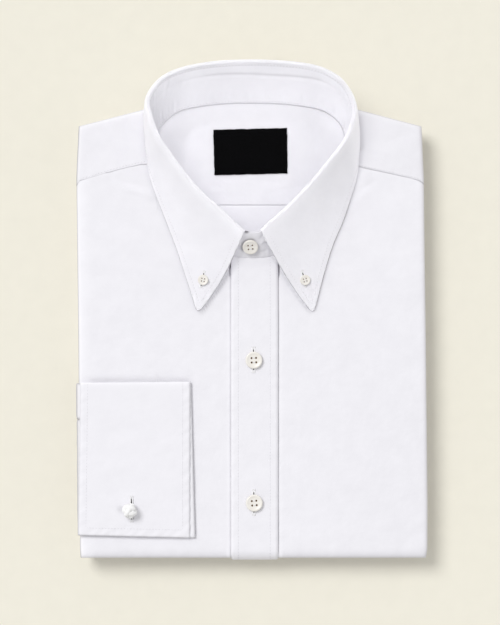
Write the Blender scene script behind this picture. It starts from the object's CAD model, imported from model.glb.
import math

import bpy
import numpy as np
from mathutils import Matrix, Vector


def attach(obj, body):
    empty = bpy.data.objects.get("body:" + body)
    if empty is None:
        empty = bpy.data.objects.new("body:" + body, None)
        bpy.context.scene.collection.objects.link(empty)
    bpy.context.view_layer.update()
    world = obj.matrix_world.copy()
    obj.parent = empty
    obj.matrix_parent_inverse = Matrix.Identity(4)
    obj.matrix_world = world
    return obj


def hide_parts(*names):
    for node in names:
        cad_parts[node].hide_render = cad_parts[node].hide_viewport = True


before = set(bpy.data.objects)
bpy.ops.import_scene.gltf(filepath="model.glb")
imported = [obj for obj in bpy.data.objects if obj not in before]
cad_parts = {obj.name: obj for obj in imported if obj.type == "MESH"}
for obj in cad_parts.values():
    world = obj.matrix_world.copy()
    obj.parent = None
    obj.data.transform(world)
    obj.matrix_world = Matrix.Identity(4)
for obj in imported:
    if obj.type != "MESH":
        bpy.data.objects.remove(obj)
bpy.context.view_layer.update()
mm = 0.001
print("frame loaded:", len(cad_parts), "nodes")

# Lengths are in millimetres until they enter a mesh. X runs across the shirt, Y towards the
# collar, and z = 0 is the table. The wearer's right side lies at -X.

# camera, over the middle

cameraSetup = {"place": (-1.5, -1.0, 2000.0), "lens": 167.55, "sensor": 36.0}
cameraData = bpy.data.cameras.new("camera")
cameraData.sensor_width = cameraSetup["sensor"]
cameraData.lens = cameraSetup["lens"]
camera = bpy.data.objects.new("camera", cameraData)
camera.location = Vector(cameraSetup["place"]) * mm
bpy.context.scene.collection.objects.link(camera)
bpy.context.scene.camera = camera
bpy.context.scene.view_settings.view_transform = "Standard"


# small maths

def smoothStep(low, high, x):
    t = np.clip((x - low) / (high - low), 0.0, 1.0)
    return t * t * (3.0 - 2.0 * t)


def lerp(a, b, t):
    return a + (b - a) * t


def unitRows(v):
    return v / np.maximum(np.linalg.norm(v, axis=-1, keepdims=True), 1e-9)


def bell(distance, width):
    return np.exp(-(distance / width) ** 2)


def smoothTable(rows, x):
    # reads a two-column table with a smooth curve: cubic pieces whose slope at each row is
    # that of the line between its two neighbours
    table = np.array(rows, float)
    px, py = table[:, 0], table[:, 1]
    slope = np.gradient(py, px)
    x = np.clip(x, px[0], px[-1])
    k = np.clip(np.searchsorted(px, x, side="right") - 1, 0, len(px) - 2)
    h = px[k + 1] - px[k]
    t = (x - px[k]) / h
    a, b = (1 + 2 * t) * (1 - t) ** 2, t * (1 - t) ** 2
    c, d = t * t * (3 - 2 * t), t * t * (t - 1)
    return a * py[k] + b * h * slope[k] + c * py[k + 1] + d * h * slope[k + 1]


def unevenWave(s, pitch, seed):
    # an irregular ripple along s: three sines near the pitch, whose sum swells and fades
    shift = np.array([1.0, 2.3, 4.1]) * (seed + 1.0)
    parts = [
        np.sin(2 * math.pi * s / (pitch * k) + p)
        for k, p in zip((1.0, 0.73, 1.61), shift)
    ]
    return (parts[0] + 0.7 * parts[1] + 0.8 * parts[2]) / 2.5


def softWaves(x, y, length, seed):
    # a gentle uneven swell over x and y: six sines in different directions, none in step
    total = 0.0
    for k in range(6):
        turn = 2.399 * (k + seed)
        wave = length * (0.7 + 0.23 * k)
        total = total + np.sin(
            2 * math.pi * (x * math.cos(turn) + y * math.sin(turn)) / wave + 1.7 * (k + seed)
        )
    return total / 6.0


# meshes from grids

def gridQuads(rows, columns, first=0):
    a = first + (np.arange(rows - 1)[:, None] * columns + np.arange(columns - 1)[None, :])
    return np.stack([a, a + 1, a + columns + 1, a + columns], axis=-1).reshape(-1, 4)


def gridNormals(grid):
    du = np.gradient(grid, axis=0)
    dv = np.gradient(grid, axis=1)
    return unitRows(np.cross(du, dv))


def gridLengths(grid):
    # lengths along both directions of a grid, averaged, as its cloth coordinates
    along = np.linalg.norm(np.diff(grid, axis=0), axis=-1).mean(axis=1)
    across = np.linalg.norm(np.diff(grid, axis=1), axis=-1).mean(axis=0)
    u = np.concatenate([[0.0], np.cumsum(along)])
    v = np.concatenate([[0.0], np.cumsum(across)])
    return np.stack(np.meshgrid(v, u), axis=-1)


def makeMesh(name, points, faces, finish, cloth=None, values=None):
    # an object from points in millimetres, faces, cloth coordinates and per-point values
    mesh = bpy.data.meshes.new(name)
    mesh.from_pydata((np.asarray(points) * mm).tolist(), [], [list(map(int, f)) for f in faces])
    corner = np.zeros(len(mesh.loops), np.int32)
    mesh.loops.foreach_get("vertex_index", corner)
    if cloth is not None:
        layer = mesh.uv_layers.new(name="cloth")
        layer.data.foreach_set("uv", (np.asarray(cloth)[corner] * mm).astype(np.float32).ravel())
    for key, numbers in (values or {}).items():
        mesh.attributes.new(key, "FLOAT", "POINT")
        mesh.attributes[key].data.foreach_set("value", np.asarray(numbers, np.float32))
    mesh.materials.append(finish)
    mesh.shade_smooth()
    mesh.update()
    made = bpy.data.objects.new(name, mesh)
    bpy.context.scene.collection.objects.link(made)
    return made


def faceTowards(made, wanted):
    # flips a piece whose faces, taken together, look away from the wanted field of directions
    count = len(made.data.polygons)
    normal = np.zeros(count * 3)
    middle = np.zeros(count * 3)
    area = np.zeros(count)
    made.data.polygons.foreach_get("normal", normal)
    made.data.polygons.foreach_get("center", middle)
    made.data.polygons.foreach_get("area", area)
    look = wanted(middle.reshape(-1, 3) / mm)
    if ((normal.reshape(-1, 3) * look).sum(axis=1) * area).sum() < 0.0:
        made.data.flip_normals()


def upwards(middle):
    return np.array([[0.0, 0.0, 1.0]])


def addWall(made, wall):
    # gives an open sheet its thickness, behind the side that it shows
    thick = made.modifiers.new("wall", "SOLIDIFY")
    thick.thickness = wall * mm
    thick.offset = -1.0
    thick.use_rim = True


def settle(made, nodes):
    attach(made, "root")
    if nodes:
        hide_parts(*nodes)


# materials

def newMaterial(name):
    made = bpy.data.materials.new(name)
    made.use_nodes = True
    tree = made.node_tree
    return made, tree, tree.nodes["Principled BSDF"]


def mathNode(tree, operation, a, b=None):
    node = tree.nodes.new("ShaderNodeMath")
    node.operation = operation
    for socket, value in zip(node.inputs, (a, b)):
        if value is None:
            continue
        if hasattr(value, "is_linked"):
            tree.links.new(value, socket)
        else:
            socket.default_value = value
    return node.outputs[0]


def plainWeaveGroup():
    group = bpy.data.node_groups.new("plainWeave", "ShaderNodeTree")
    group.interface.new_socket("Cloth", in_out="INPUT", socket_type="NodeSocketVector")
    group.interface.new_socket("Threads", in_out="INPUT", socket_type="NodeSocketFloat")
    group.interface.new_socket("Height", in_out="OUTPUT", socket_type="NodeSocketFloat")
    entry = group.nodes.new("NodeGroupInput")
    leave = group.nodes.new("NodeGroupOutput")
    scale = group.nodes.new("ShaderNodeVectorMath")
    scale.operation = "SCALE"
    group.links.new(entry.outputs["Cloth"], scale.inputs[0])
    group.links.new(entry.outputs["Threads"], scale.inputs["Scale"])
    split = group.nodes.new("ShaderNodeSeparateXYZ")
    group.links.new(scale.outputs[0], split.inputs[0])
    warp = mathNode(group, "SINE", mathNode(group, "MULTIPLY", split.outputs[0], math.pi))
    weft = mathNode(group, "SINE", mathNode(group, "MULTIPLY", split.outputs[1], math.pi))
    checker = mathNode(group, "MULTIPLY", warp, weft)
    overWarp = mathNode(group, "MULTIPLY_ADD", checker, 0.5)
    overWarp.node.inputs[2].default_value = 0.5
    underWarp = mathNode(group, "SUBTRACT", 1.0, overWarp)
    warpRidge = mathNode(group, "MULTIPLY", mathNode(group, "ABSOLUTE", warp), overWarp)
    weftRidge = mathNode(group, "MULTIPLY", mathNode(group, "ABSOLUTE", weft), underWarp)
    height = mathNode(group, "ADD", warpRidge, weftRidge)
    group.links.new(height, leave.inputs["Height"])
    return group


def mottleGroup():
    # a slow uneven tone and a fine crumple, both from noise on the object's own coordinates
    group = bpy.data.node_groups.new("softMottle", "ShaderNodeTree")
    group.interface.new_socket("Place", in_out="INPUT", socket_type="NodeSocketVector")
    group.interface.new_socket("Size", in_out="INPUT", socket_type="NodeSocketFloat")
    group.interface.new_socket("Tone", in_out="OUTPUT", socket_type="NodeSocketFloat")
    group.interface.new_socket("Crumple", in_out="OUTPUT", socket_type="NodeSocketFloat")
    entry = group.nodes.new("NodeGroupInput")
    leave = group.nodes.new("NodeGroupOutput")
    for output, detail, share in (("Tone", 3.0, 0.45), ("Crumple", 4.0, 1.0)):
        noise = group.nodes.new("ShaderNodeTexNoise")
        noise.inputs["Detail"].default_value = detail
        size = mathNode(group, "MULTIPLY", entry.outputs["Size"], share)
        group.links.new(entry.outputs["Place"], noise.inputs["Vector"])
        group.links.new(size, noise.inputs["Scale"])
        group.links.new(noise.outputs["Fac"], leave.inputs[output])
    return group


plainWeave = plainWeaveGroup()
softMottle = mottleGroup()


def addGroup(tree, group, **values):
    node = tree.nodes.new("ShaderNodeGroup")
    node.node_tree = group
    for key, value in values.items():
        if hasattr(value, "is_linked"):
            tree.links.new(value, node.inputs[key])
        else:
            node.inputs[key].default_value = value
    return node


def addBump(tree, height, distance, strength=1.0, onto=None):
    bump = tree.nodes.new("ShaderNodeBump")
    bump.inputs["Distance"].default_value = distance * mm
    bump.inputs["Strength"].default_value = strength
    tree.links.new(height, bump.inputs["Height"])
    if onto is not None:
        tree.links.new(onto, bump.inputs["Normal"])
    return bump.outputs["Normal"]


def mixTone(tree, factor, dark, light):
    mix = tree.nodes.new("ShaderNodeMix")
    mix.data_type = "RGBA"
    mix.inputs[6].default_value = (*dark, 1.0)
    mix.inputs[7].default_value = (*light, 1.0)
    tree.links.new(factor, mix.inputs[0])
    return mix.outputs[2]


poplinSetup = {
    "light": (0.846, 0.837, 0.877), "dark": (0.779, 0.770, 0.810),
    "pressed": (0.93, 0.922, 0.96), "shaded": (0.30, 0.293, 0.31),
    "threadsPerMetre": 3600.0, "weaveDepth": 0.035, "crumpleSize": 190.0, "crumpleDepth": 0.3,
    "roughness": 0.82, "sheen": 0.08, "specular": 0.2,
}


def poplin(name, setup):
    made, tree, shader = newMaterial(name)
    place = tree.nodes.new("ShaderNodeTexCoord")
    weave = addGroup(tree, plainWeave, Cloth=place.outputs["UV"],
                     Threads=setup["threadsPerMetre"])
    mottle = addGroup(tree, softMottle, Place=place.outputs["Object"],
                      Size=setup["crumpleSize"])
    pressed = tree.nodes.new("ShaderNodeAttribute")
    pressed.attribute_name = "pressed"
    tone = mixTone(tree, mottle.outputs["Tone"], setup["dark"], setup["light"])
    hollow = mathNode(tree, "MULTIPLY", pressed.outputs["Fac"], -1.0)
    for factor, color in ((hollow, setup["shaded"]), (pressed.outputs["Fac"], setup["pressed"])):
        under, tone = tone, mixTone(tree, factor, setup["dark"], color)
        tree.links.new(under, tone.node.inputs[6])
    tree.links.new(tone, shader.inputs["Base Color"])
    crumple = addBump(tree, mottle.outputs["Crumple"], setup["crumpleDepth"])
    normal = addBump(tree, weave.outputs["Height"], setup["weaveDepth"], 0.6, crumple)
    tree.links.new(normal, shader.inputs["Normal"])
    shader.inputs["Roughness"].default_value = setup["roughness"]
    shader.inputs["Specular IOR Level"].default_value = setup["specular"]
    shader.inputs["Sheen Weight"].default_value = setup["sheen"]
    return made


def sewingThread():
    # cotton thread: white along each stitch, shaded where it dives into the cloth
    made, tree, shader = newMaterial("sewingThread")
    shade = tree.nodes.new("ShaderNodeAttribute")
    shade.attribute_name = "dive"
    tree.links.new(mixTone(tree, shade.outputs["Fac"], (0.83, 0.82, 0.86), (0.50, 0.49, 0.51)),
                   shader.inputs["Base Color"])
    place = tree.nodes.new("ShaderNodeTexCoord")
    twist = addGroup(tree, softMottle, Place=place.outputs["Object"], Size=4000.0)
    tree.links.new(addBump(tree, twist.outputs["Crumple"], 0.05), shader.inputs["Normal"])
    shader.inputs["Roughness"].default_value = 0.7
    return made


def pearlShell():
    # polished shell: cream with faint cloudy bands that run across the button
    made, tree, shader = newMaterial("pearlShell")
    place = tree.nodes.new("ShaderNodeTexCoord")
    bands = tree.nodes.new("ShaderNodeMapping")
    bands.inputs["Scale"].default_value = (0.35, 1.0, 1.0)
    bands.inputs["Rotation"].default_value = (0.0, 0.0, 0.6)
    tree.links.new(place.outputs["Object"], bands.inputs["Vector"])
    cloud = addGroup(tree, softMottle, Place=bands.outputs[0], Size=520.0)
    tree.links.new(mixTone(tree, cloud.outputs["Crumple"], (0.74, 0.70, 0.64),
                           (0.88, 0.86, 0.82)), shader.inputs["Base Color"])
    shader.inputs["Roughness"].default_value = 0.36
    shader.inputs["Coat Weight"].default_value = 0.25
    shader.inputs["Coat Roughness"].default_value = 0.2
    return made


def labelRibbon():
    # black woven ribbon with a close rib
    made, tree, shader = newMaterial("labelRibbon")
    place = tree.nodes.new("ShaderNodeTexCoord")
    weave = addGroup(tree, plainWeave, Cloth=place.outputs["UV"], Threads=2200.0)
    mottle = addGroup(tree, softMottle, Place=place.outputs["Object"], Size=700.0)
    tree.links.new(mixTone(tree, mottle.outputs["Crumple"], (0.0008, 0.0008, 0.001),
                           (0.0045, 0.0045, 0.005)), shader.inputs["Base Color"])
    tree.links.new(addBump(tree, weave.outputs["Height"], 0.12), shader.inputs["Normal"])
    shader.inputs["Roughness"].default_value = 0.85
    shader.inputs["Specular IOR Level"].default_value = 0.03
    return made


def plainFinish(name, color, roughness):
    # a dull thread or shade whose tone wanders a little
    made, tree, shader = newMaterial(name)
    place = tree.nodes.new("ShaderNodeTexCoord")
    mottle = addGroup(tree, softMottle, Place=place.outputs["Object"], Size=1500.0)
    darker = tuple(0.8 * c for c in color)
    tree.links.new(mixTone(tree, mottle.outputs["Crumple"], darker, color),
                   shader.inputs["Base Color"])
    shader.inputs["Roughness"].default_value = roughness
    shader.inputs["Specular IOR Level"].default_value = 0.1
    return made


def silkCord():
    # twisted silk: slanting plies read from the cord's own coordinates
    made, tree, shader = newMaterial("silkCord")
    place = tree.nodes.new("ShaderNodeTexCoord")
    split = tree.nodes.new("ShaderNodeSeparateXYZ")
    tree.links.new(place.outputs["UV"], split.inputs[0])
    slant = mathNode(tree, "ADD", mathNode(tree, "MULTIPLY", split.outputs[0], 5200.0),
                     mathNode(tree, "MULTIPLY", split.outputs[1], 4200.0))
    ply = mathNode(tree, "ABSOLUTE", mathNode(tree, "SINE", slant))
    tree.links.new(mixTone(tree, ply, (0.82, 0.815, 0.81), (0.93, 0.928, 0.93)),
                   shader.inputs["Base Color"])
    tree.links.new(addBump(tree, ply, 0.08), shader.inputs["Normal"])
    shader.inputs["Roughness"].default_value = 0.42
    shader.inputs["Sheen Weight"].default_value = 0.25
    return made


cottonFinish = poplin("cottonPoplin", poplinSetup)
collarFinish = poplin("fusedPoplin", {**poplinSetup, "light": (0.828, 0.819, 0.859),
                                      "dark": (0.771, 0.762, 0.802), "crumpleDepth": 0.22})
threadFinish = sewingThread()
shellFinish = pearlShell()
labelFinish = labelRibbon()
slitFinish = plainFinish("slitShade", (0.022, 0.02, 0.02), 0.9)
holeFinish = plainFinish("holeShade", (0.21, 0.13, 0.07), 0.9)
tackFinish = plainFinish("tackThread", (0.92, 0.915, 0.93), 0.7)
silkFinish = silkCord()
print("materials made")

# the folded form

form = {
    "top": 22.0, "neckDrop": 7.3, "edgeRound": 5.6, "bottom": -168.1,
    "wall": 0.55, "seamGap": 0.3, "insideFloor": 13.2, "pit": 11.7,
    "layerGap": 1.6, "rimGap": -0.3, "seamFoldY": 85.0, "backSeamY": 72.3, "tuckTurn": 70.0,
}
neckMiddle = (-0.5, 96.0)
yokeMiddle = (-0.5, 120.0)
bandEdges = (-14.3, 17.6)
frontMeeting = 13.8

# y, then x of the fold on the wearer's right and left
sideFolds = (
    (-168.1, -116.9, 118.5), (-162.0, -117.3, 119.4), (-130.0, -117.7, 119.5),
    (-24.0, -118.4, 118.4), (42.0, -119.2, 117.5), (90.7, -119.8, 117.0),
    (99.0, -119.5, 116.6), (126.0, -118.2, 115.4),
)
shoulderFold = (
    (-120.0, 125.4), (-74.3, 137.2), (-60.0, 141.2), (-40.0, 146.4), (-20.0, 148.3),
    (20.0, 148.3), (40.0, 146.4), (60.0, 141.0), (70.8, 137.6), (117.0, 125.4),
)
yokeSeams = (
    (-120.0, 84.6), (-117.4, 88.4), (-103.5, 92.6), (-89.9, 96.6), (-76.0, 99.8),
    (-64.0, 102.4), (-10.0, 110.0), (10.0, 110.0), (62.0, 100.6), (77.4, 96.8),
    (93.7, 93.4), (107.3, 90.4), (114.1, 88.4), (118.0, 85.4),
)


def sideX(side, y):
    rows = np.array(sideFolds)
    return np.interp(y, rows[:, 0], rows[:, 1 + side])


def shoulderY(x):
    rows = np.array(shoulderFold)
    return np.interp(x, rows[:, 0], rows[:, 1])


def yokeSeamY(x):
    rows = np.array(yokeSeams)
    return np.interp(x, rows[:, 0], rows[:, 1])


def shelf(x, y):
    # the front's level: flat, and lower behind the neck
    behind = smoothStep(118.0, 140.0, y)
    beside = 1.0 - smoothStep(58.0, 74.0, np.abs(x - neckMiddle[0]))
    return form["top"] - form["neckDrop"] * behind * beside


def edgeCap(distance, radius):
    # a quarter of a squarish round from 1 on the level down to 0 at the fold, as cotton that
    # has been pressed: the fourth root of one less the fourth power of the way to the level
    t = 1.0 - np.clip(distance / radius, 0.0, 1.0)
    return np.clip(1.0 - t ** 4, 0.0, 1.0) ** 0.25


def foldedTop(x, y, inset=0.0):
    # height of the front: the shelf less a round, the product of the rounds of its four folds
    radius = form["edgeRound"] - inset
    middle = shelf(x, y) - form["edgeRound"]
    caps = edgeCap(x - sideX(0, y) - inset, radius) * edgeCap(sideX(1, y) - x - inset, radius)
    caps = caps * edgeCap(y - form["bottom"] - inset, radius)
    caps = caps * edgeCap(shoulderY(x) - y - inset, radius)
    return middle + radius * caps


# creases pressed or pulled into the fronts and the yoke: from (x0, y0) to (x1, y1), width,
# and height, where a minus sign is a trough
frontCreases = (
    (-97.0, 92.5, -66.0, 80.5, 2.6, -0.44), (-92.0, 87.5, -64.0, 76.5, 2.2, 0.40),
    (-82.0, 80.0, -63.0, 70.0, 2.0, -0.36), (-76.0, 83.5, -65.0, 77.0, 1.6, 0.30),
    (68.0, 79.0, 86.0, 89.0, 2.2, -0.40), (67.0, 73.0, 82.0, 82.0, 2.0, 0.34),
    (98.0, -160.0, 119.0, -149.0, 2.4, -0.14), (104.0, -150.0, 118.0, -141.0, 2.6, 0.18),
    (-118.0, 20.0, -98.0, 26.0, 3.2, -0.16), (-117.0, -10.0, -102.0, -4.0, 3.0, 0.12),
    (100.0, 60.0, 118.0, 66.0, 3.4, -0.16), (103.0, -40.0, 119.0, -30.0, 3.2, -0.14),
    (30.0, -158.0, 62.0, -152.0, 3.6, 0.12), (62.0, -20.0, 88.0, -60.0, 5.5, -0.16),
    (-70.0, 20.0, -40.0, -16.0, 5.5, -0.14), (28.0, -90.0, 60.0, -110.0, 5.0, 0.12),
    (-104.0, 118.0, -86.0, 112.0, 3.0, 0.14), (88.0, 112.0, 108.0, 121.0, 3.0, -0.14),
)


def creased(x, y, creases):
    # sum of bell-shaped ridges and troughs along straight lines, each fading at its ends
    total = np.zeros(np.broadcast(x, y).shape)
    for x0, y0, x1, y1, width, height in creases:
        length = math.hypot(x1 - x0, y1 - y0)
        tx, ty = (x1 - x0) / length, (y1 - y0) / length
        along = (x - x0) * tx + (y - y0) * ty
        aside = (x - x0) * ty - (y - y0) * tx + 0.8 * np.sin(along / length * 4.0 + x0)
        ends = smoothStep(-0.15 * length, 0.35 * length, along)
        ends = ends * (1.0 - smoothStep(0.65 * length, 1.15 * length, along))
        total = total + height * bell(aside, width) * ends
    return total


def frontRelief(x, y):
    # swell, creases, and the ripples that sewing pulls beside the seams and the folds
    relief = 0.20 * softWaves(x, y, 46.0, 1) + 0.055 * softWaves(x, y, 15.0, 4)
    relief = relief + creased(x, y, frontCreases)
    aboveCuff = smoothStep(-122.0, -112.0, x) * (1.0 - smoothStep(-46.0, -38.0, x))
    relief = relief - 0.85 * aboveCuff * bell(y + 47.4, 1.7)
    seam = y - yokeSeamY(x)
    relief = relief - 0.12 * bell(seam, 0.45)
    relief = relief + 0.10 * bell(seam - 2.6, 2.2) * unevenWave(x, 5.6, 2)
    relief = relief + 0.08 * bell(seam + 3.2, 3.4) * unevenWave(x, 7.4, 3)
    underLeaf = smoothStep(22.5, 26.0, y)
    for edge, outward in ((bandEdges[0], -1.0), (bandEdges[1], 1.0)):
        aside = (x - edge) * outward
        relief = relief + 0.07 * bell(aside - 2.0, 3.0) * unevenWave(y, 8.5, edge)
        relief = relief - (0.3 + 3.0 * underLeaf) * bell(aside - 0.35, 0.45 + 0.2 * underLeaf)
    hem = x - sideX(0, y) - 0.9
    relief = relief - (0.2 + 0.4 * smoothStep(84.0, 92.0, y)) * bell(hem, 0.4)
    low = y - form["bottom"]
    relief = relief + 0.12 * bell(low - 3.0, 4.5) * unevenWave(x, 13.0, 5)
    for side in (0, 1):
        fold = np.abs(x - sideX(side, y))
        relief = relief + 0.09 * bell(fold - 3.0, 4.5) * unevenWave(y, 17.0, 6 + side)
    return relief


def frontHeight(x, y):
    return foldedTop(x, y) + frontRelief(x, y)


def roundDistances(count):
    # distances in from a fold that share its quarter circle out evenly, the fold first
    turn = np.radians(np.linspace(90.0, 0.0, count))
    return form["edgeRound"] * (1.0 - np.sin(turn))


def cornerShare(distance):
    return np.clip(1.0 - np.abs(distance) / 10.0, 0.0, 1.0)


def tuckUnder(points, cloth, path, inward, steps=8):
    # carries the edge along path on round the fold: a quarter circle of the fold's radius that
    # goes down and back in, each point along its own inward direction
    radius = form["edgeRound"]
    turn = np.radians(np.linspace(0.0, form["tuckTurn"], steps + 1)[1:])[:, None]
    back, down = radius * (1.0 - np.cos(turn)), radius * np.sin(turn)
    edge, edgeCloth = points[path], cloth[path]
    strip = np.stack([
        edge[None, :, 0] + inward[None, :, 0] * back,
        edge[None, :, 1] + inward[None, :, 1] * back,
        edge[None, :, 2] - down,
    ], axis=-1)
    stripCloth = edgeCloth[None] - inward[None] * (radius * turn)[:, :, None]
    first = len(points)
    count = len(path)
    index = first + np.arange(steps * count).reshape(steps, count)
    index = np.vstack([path[None], index])
    quads = np.stack([index[:-1, :-1], index[1:, :-1], index[1:, 1:], index[:-1, 1:]], axis=-1)
    return (np.vstack([points, strip.reshape(-1, 3)]),
            np.vstack([cloth, stripCloth.reshape(-1, 2)]), quads.reshape(-1, 4))


# the collar's sections

collar = {
    "roll": 1.9, "seamBelowRoll": 0.15, "lap": 1.6, "wall": 0.9, "last": 13.0,
    "stitchInset": 4.5, "tipReach": 7.0, "tipRound": 3.2, "sag": 4.0,
    "frontTop": (0.0, 53.3, 32.0), "frontBase": (0.0, 36.4, 22.4),
}
# from the middle of the back to the middle of the front: roll line, foot of the stand, outer
# edge of the leaf, swell of the leaf and bow of its front edge
collarColumns = ("rollX", "rollY", "rollZ", "baseX", "baseY", "baseZ", "edgeX", "edgeY",
                 "edgeZ", "bulge", "bow")
collarTable = (
    (
        (-0.2, 167.6, 41.0, -0.2, 141.8, 16.1, -0.2, 152.3, 7.0, 1.6, 0.0),
        (-25.1, 166.5, 41.0, -25.4, 140.8, 16.1, -32.3, 150.6, 7.0, 1.6, 0.0),
        (-45.3, 162.9, 41.5, -47.2, 137.2, 16.8, -57.7, 147.4, 9.0, 1.6, 0.0),
        (-58.7, 157.3, 42.5, -57.7, 130.5, 19.0, -71.3, 140.6, 19.5, 1.4, 0.0),
        (-66.4, 150.0, 41.5, -62.9, 123.1, 22.7, -73.2, 132.5, 23.7, 1.2, 0.0),
        (-70.6, 141.2, 41.8, -64.5, 112.9, 23.1, -72.8, 115.5, 23.7, 1.0, 0.0),
        (-69.1, 131.8, 41.8, -65.0, 104.0, 23.0, -71.9, 104.0, 23.7, 1.2, 0.0),
        (-64.1, 117.7, 40.6, -63.0, 89.1, 22.8, -69.8, 91.1, 23.7, 1.6, 0.0),
        (-56.7, 106.7, 38.8, -57.9, 74.1, 22.4, -65.7, 78.2, 23.7, 2.0, 0.0),
        (-45.3, 91.0, 37.0, -48.4, 59.2, 22.4, -59.3, 61.8, 23.7, 2.4, 0.0),
        (-33.2, 77.6, 35.8, -37.5, 49.0, 22.4, -51.8, 42.1, 23.7, 2.4, 0.2),
        (-22.4, 68.2, 34.9, -26.7, 42.2, 22.4, -45.7, 23.8, 23.7, 2.2, 0.8),
        (-13.0, 59.1, 34.2, -17.1, 38.4, 22.4, -40.9, 8.9, 23.7, 1.8, 1.8),
        (-5.9, 52.9, 34.2, -8.3, 36.7, 22.4, -37.4, -3.0, 23.7, 1.2, 3.0),
    ),
    (
        (-0.2, 167.6, 41.0, -0.2, 141.8, 16.1, -0.2, 152.3, 7.0, 1.6, 0.0),
        (24.8, 166.5, 41.0, 25.1, 140.8, 16.1, 32.1, 150.6, 7.0, 1.6, 0.0),
        (43.6, 163.5, 41.5, 46.6, 137.2, 16.8, 57.4, 147.4, 9.0, 1.6, 0.0),
        (56.7, 157.1, 42.5, 57.1, 130.5, 19.0, 69.3, 140.6, 19.5, 1.4, 0.0),
        (64.1, 149.0, 41.5, 61.9, 123.1, 22.7, 71.2, 132.5, 23.7, 1.2, 0.0),
        (68.0, 140.5, 41.8, 63.6, 112.9, 23.1, 72.3, 115.5, 23.7, 1.0, 0.0),
        (68.8, 131.8, 41.8, 64.0, 104.0, 23.0, 72.6, 104.0, 23.7, 1.2, 0.0),
        (64.4, 117.7, 40.6, 62.1, 89.1, 22.8, 71.2, 91.1, 23.7, 1.6, 0.0),
        (56.4, 105.7, 38.8, 57.0, 74.1, 22.4, 67.8, 78.2, 23.7, 2.0, 0.0),
        (44.3, 91.0, 37.0, 47.5, 59.2, 22.4, 62.5, 61.8, 23.7, 2.4, 0.0),
        (31.6, 76.9, 35.8, 36.6, 49.0, 22.4, 54.6, 42.8, 23.7, 2.4, 0.2),
        (20.8, 66.5, 34.9, 25.7, 42.2, 22.4, 48.8, 23.8, 23.7, 2.2, 0.6),
        (12.0, 58.8, 34.2, 16.2, 38.4, 22.4, 45.0, 8.9, 23.7, 1.8, 1.2),
        (6.3, 53.4, 34.2, 8.0, 36.7, 22.4, 41.8, -3.3, 23.7, 1.2, 2.0),
    ),
)


def throughRows(rows, t):
    # a smooth curve through the rows of a table, read at fractional row numbers
    k = np.clip(np.floor(t).astype(int), 0, len(rows) - 4)
    f = (t - k)[:, None]
    before, a, b, after = rows[k], rows[k + 1], rows[k + 2], rows[k + 3]
    return 0.5 * (2 * a + (b - before) * f + (2 * before - 5 * a + 4 * b - after) * f ** 2
                  + (3 * a - before - 3 * b + after) * f ** 3)


def collarRows(side, t):
    rows, other = np.array(collarTable[side]), np.array(collarTable[1 - side])
    padded = np.vstack([other[1], rows, 2 * rows[-1] - rows[-2]])
    return throughRows(padded, np.atleast_1d(np.asarray(t, float)))


def collarSections(side, t):
    # where each section stands: its three lines, and the directions square to the roll
    row = collarRows(side, t)
    roll, base, edge = row[:, 0:3], row[:, 3:6], row[:, 6:9]
    ahead = collarRows(side, np.minimum(t + 0.01, collar["last"]))[:, 0:3]
    behind = collarRows(side, np.maximum(t - 0.01, 0.0))[:, 0:3]
    along = unitRows(ahead - behind)
    turn = -1.0 if side else 1.0
    downStand, straight = unitRows(base - roll), edge - roll
    outOfLeaf = turn * unitRows(np.cross(straight, along))
    slope = math.pi * row[:, 9:10] / np.linalg.norm(straight, axis=1, keepdims=True)
    downLeaf = unitRows(unitRows(straight) + slope * outOfLeaf)
    outOfRoll = turn * unitRows(np.cross(downLeaf, along))
    intoNeck = turn * unitRows(np.cross(along, downStand))

    def squareTo(direction):
        return unitRows(direction - (direction * along).sum(axis=1, keepdims=True) * along)

    fall = squareTo(downStand)
    crest = -unitRows(fall + squareTo(downLeaf))
    return {"roll": roll, "base": base, "edge": edge, "along": along, "fall": fall,
            "crest": crest, "outOfLeaf": outOfLeaf, "outOfRoll": outOfRoll,
            "intoNeck": intoNeck, "bulge": row[:, 9:10], "bow": row[:, 10:11],
            "sag": collar["sag"] * smoothStep(4.0, 8.0, np.reshape(t, (-1, 1)))}


def leafGrid(sections, arcSteps, shares):
    # the leaf from its seam on the stand, over the roll in a half circle, and down to its edge
    # along a straight line that swells by a half sine and bows along the roll by another
    roll, radius = sections["roll"], collar["roll"]
    columns = [roll + radius * sections["intoNeck"] + collar["seamBelowRoll"] * sections["fall"]]
    for place in np.linspace(0.0, 2.0, arcSteps + 1):
        if place < 1.0:
            side = lerp(sections["intoNeck"], sections["crest"], place)
        else:
            side = lerp(sections["crest"], sections["outOfRoll"], place - 1.0)
        columns.append(roll + radius * unitRows(side))
    start = roll + radius * sections["outOfRoll"]
    flatAlong = sections["along"] * np.array([1.0, 1.0, 0.0])
    for s in shares:
        swell = math.sin(math.pi * s) * (sections["bulge"] * sections["outOfLeaf"]
                                         + sections["bow"] * flatAlong
                                         - sections["sag"] * np.array([0.0, 0.0, 1.0]))
        columns.append(lerp(start, sections["edge"], s) + swell)
    return np.stack(columns, axis=1)


def standColumns(sections, drop, shares):
    top = sections["roll"] + collar["roll"] * sections["intoNeck"]
    top = top + (collar["seamBelowRoll"] + 0.04) * sections["fall"]
    shift = np.reshape(drop, (-1, 1)) * sections["intoNeck"]
    return np.stack([lerp(top, sections["base"], s) + shift for s in shares], axis=1)


def neckRing(outward=0.0):
    # the foot of the stand seen from above, from the front round the back to the front
    t = np.linspace(0.0, collar["last"], 120)
    right = collarRows(0, t[::-1])[:, 3:5]
    left = collarRows(1, t[1:])[:, 3:5]
    ring = np.vstack([right, left, [collar["frontBase"][:2]]])
    return ring + unitRows(ring - np.array(neckMiddle)) * outward


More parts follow.
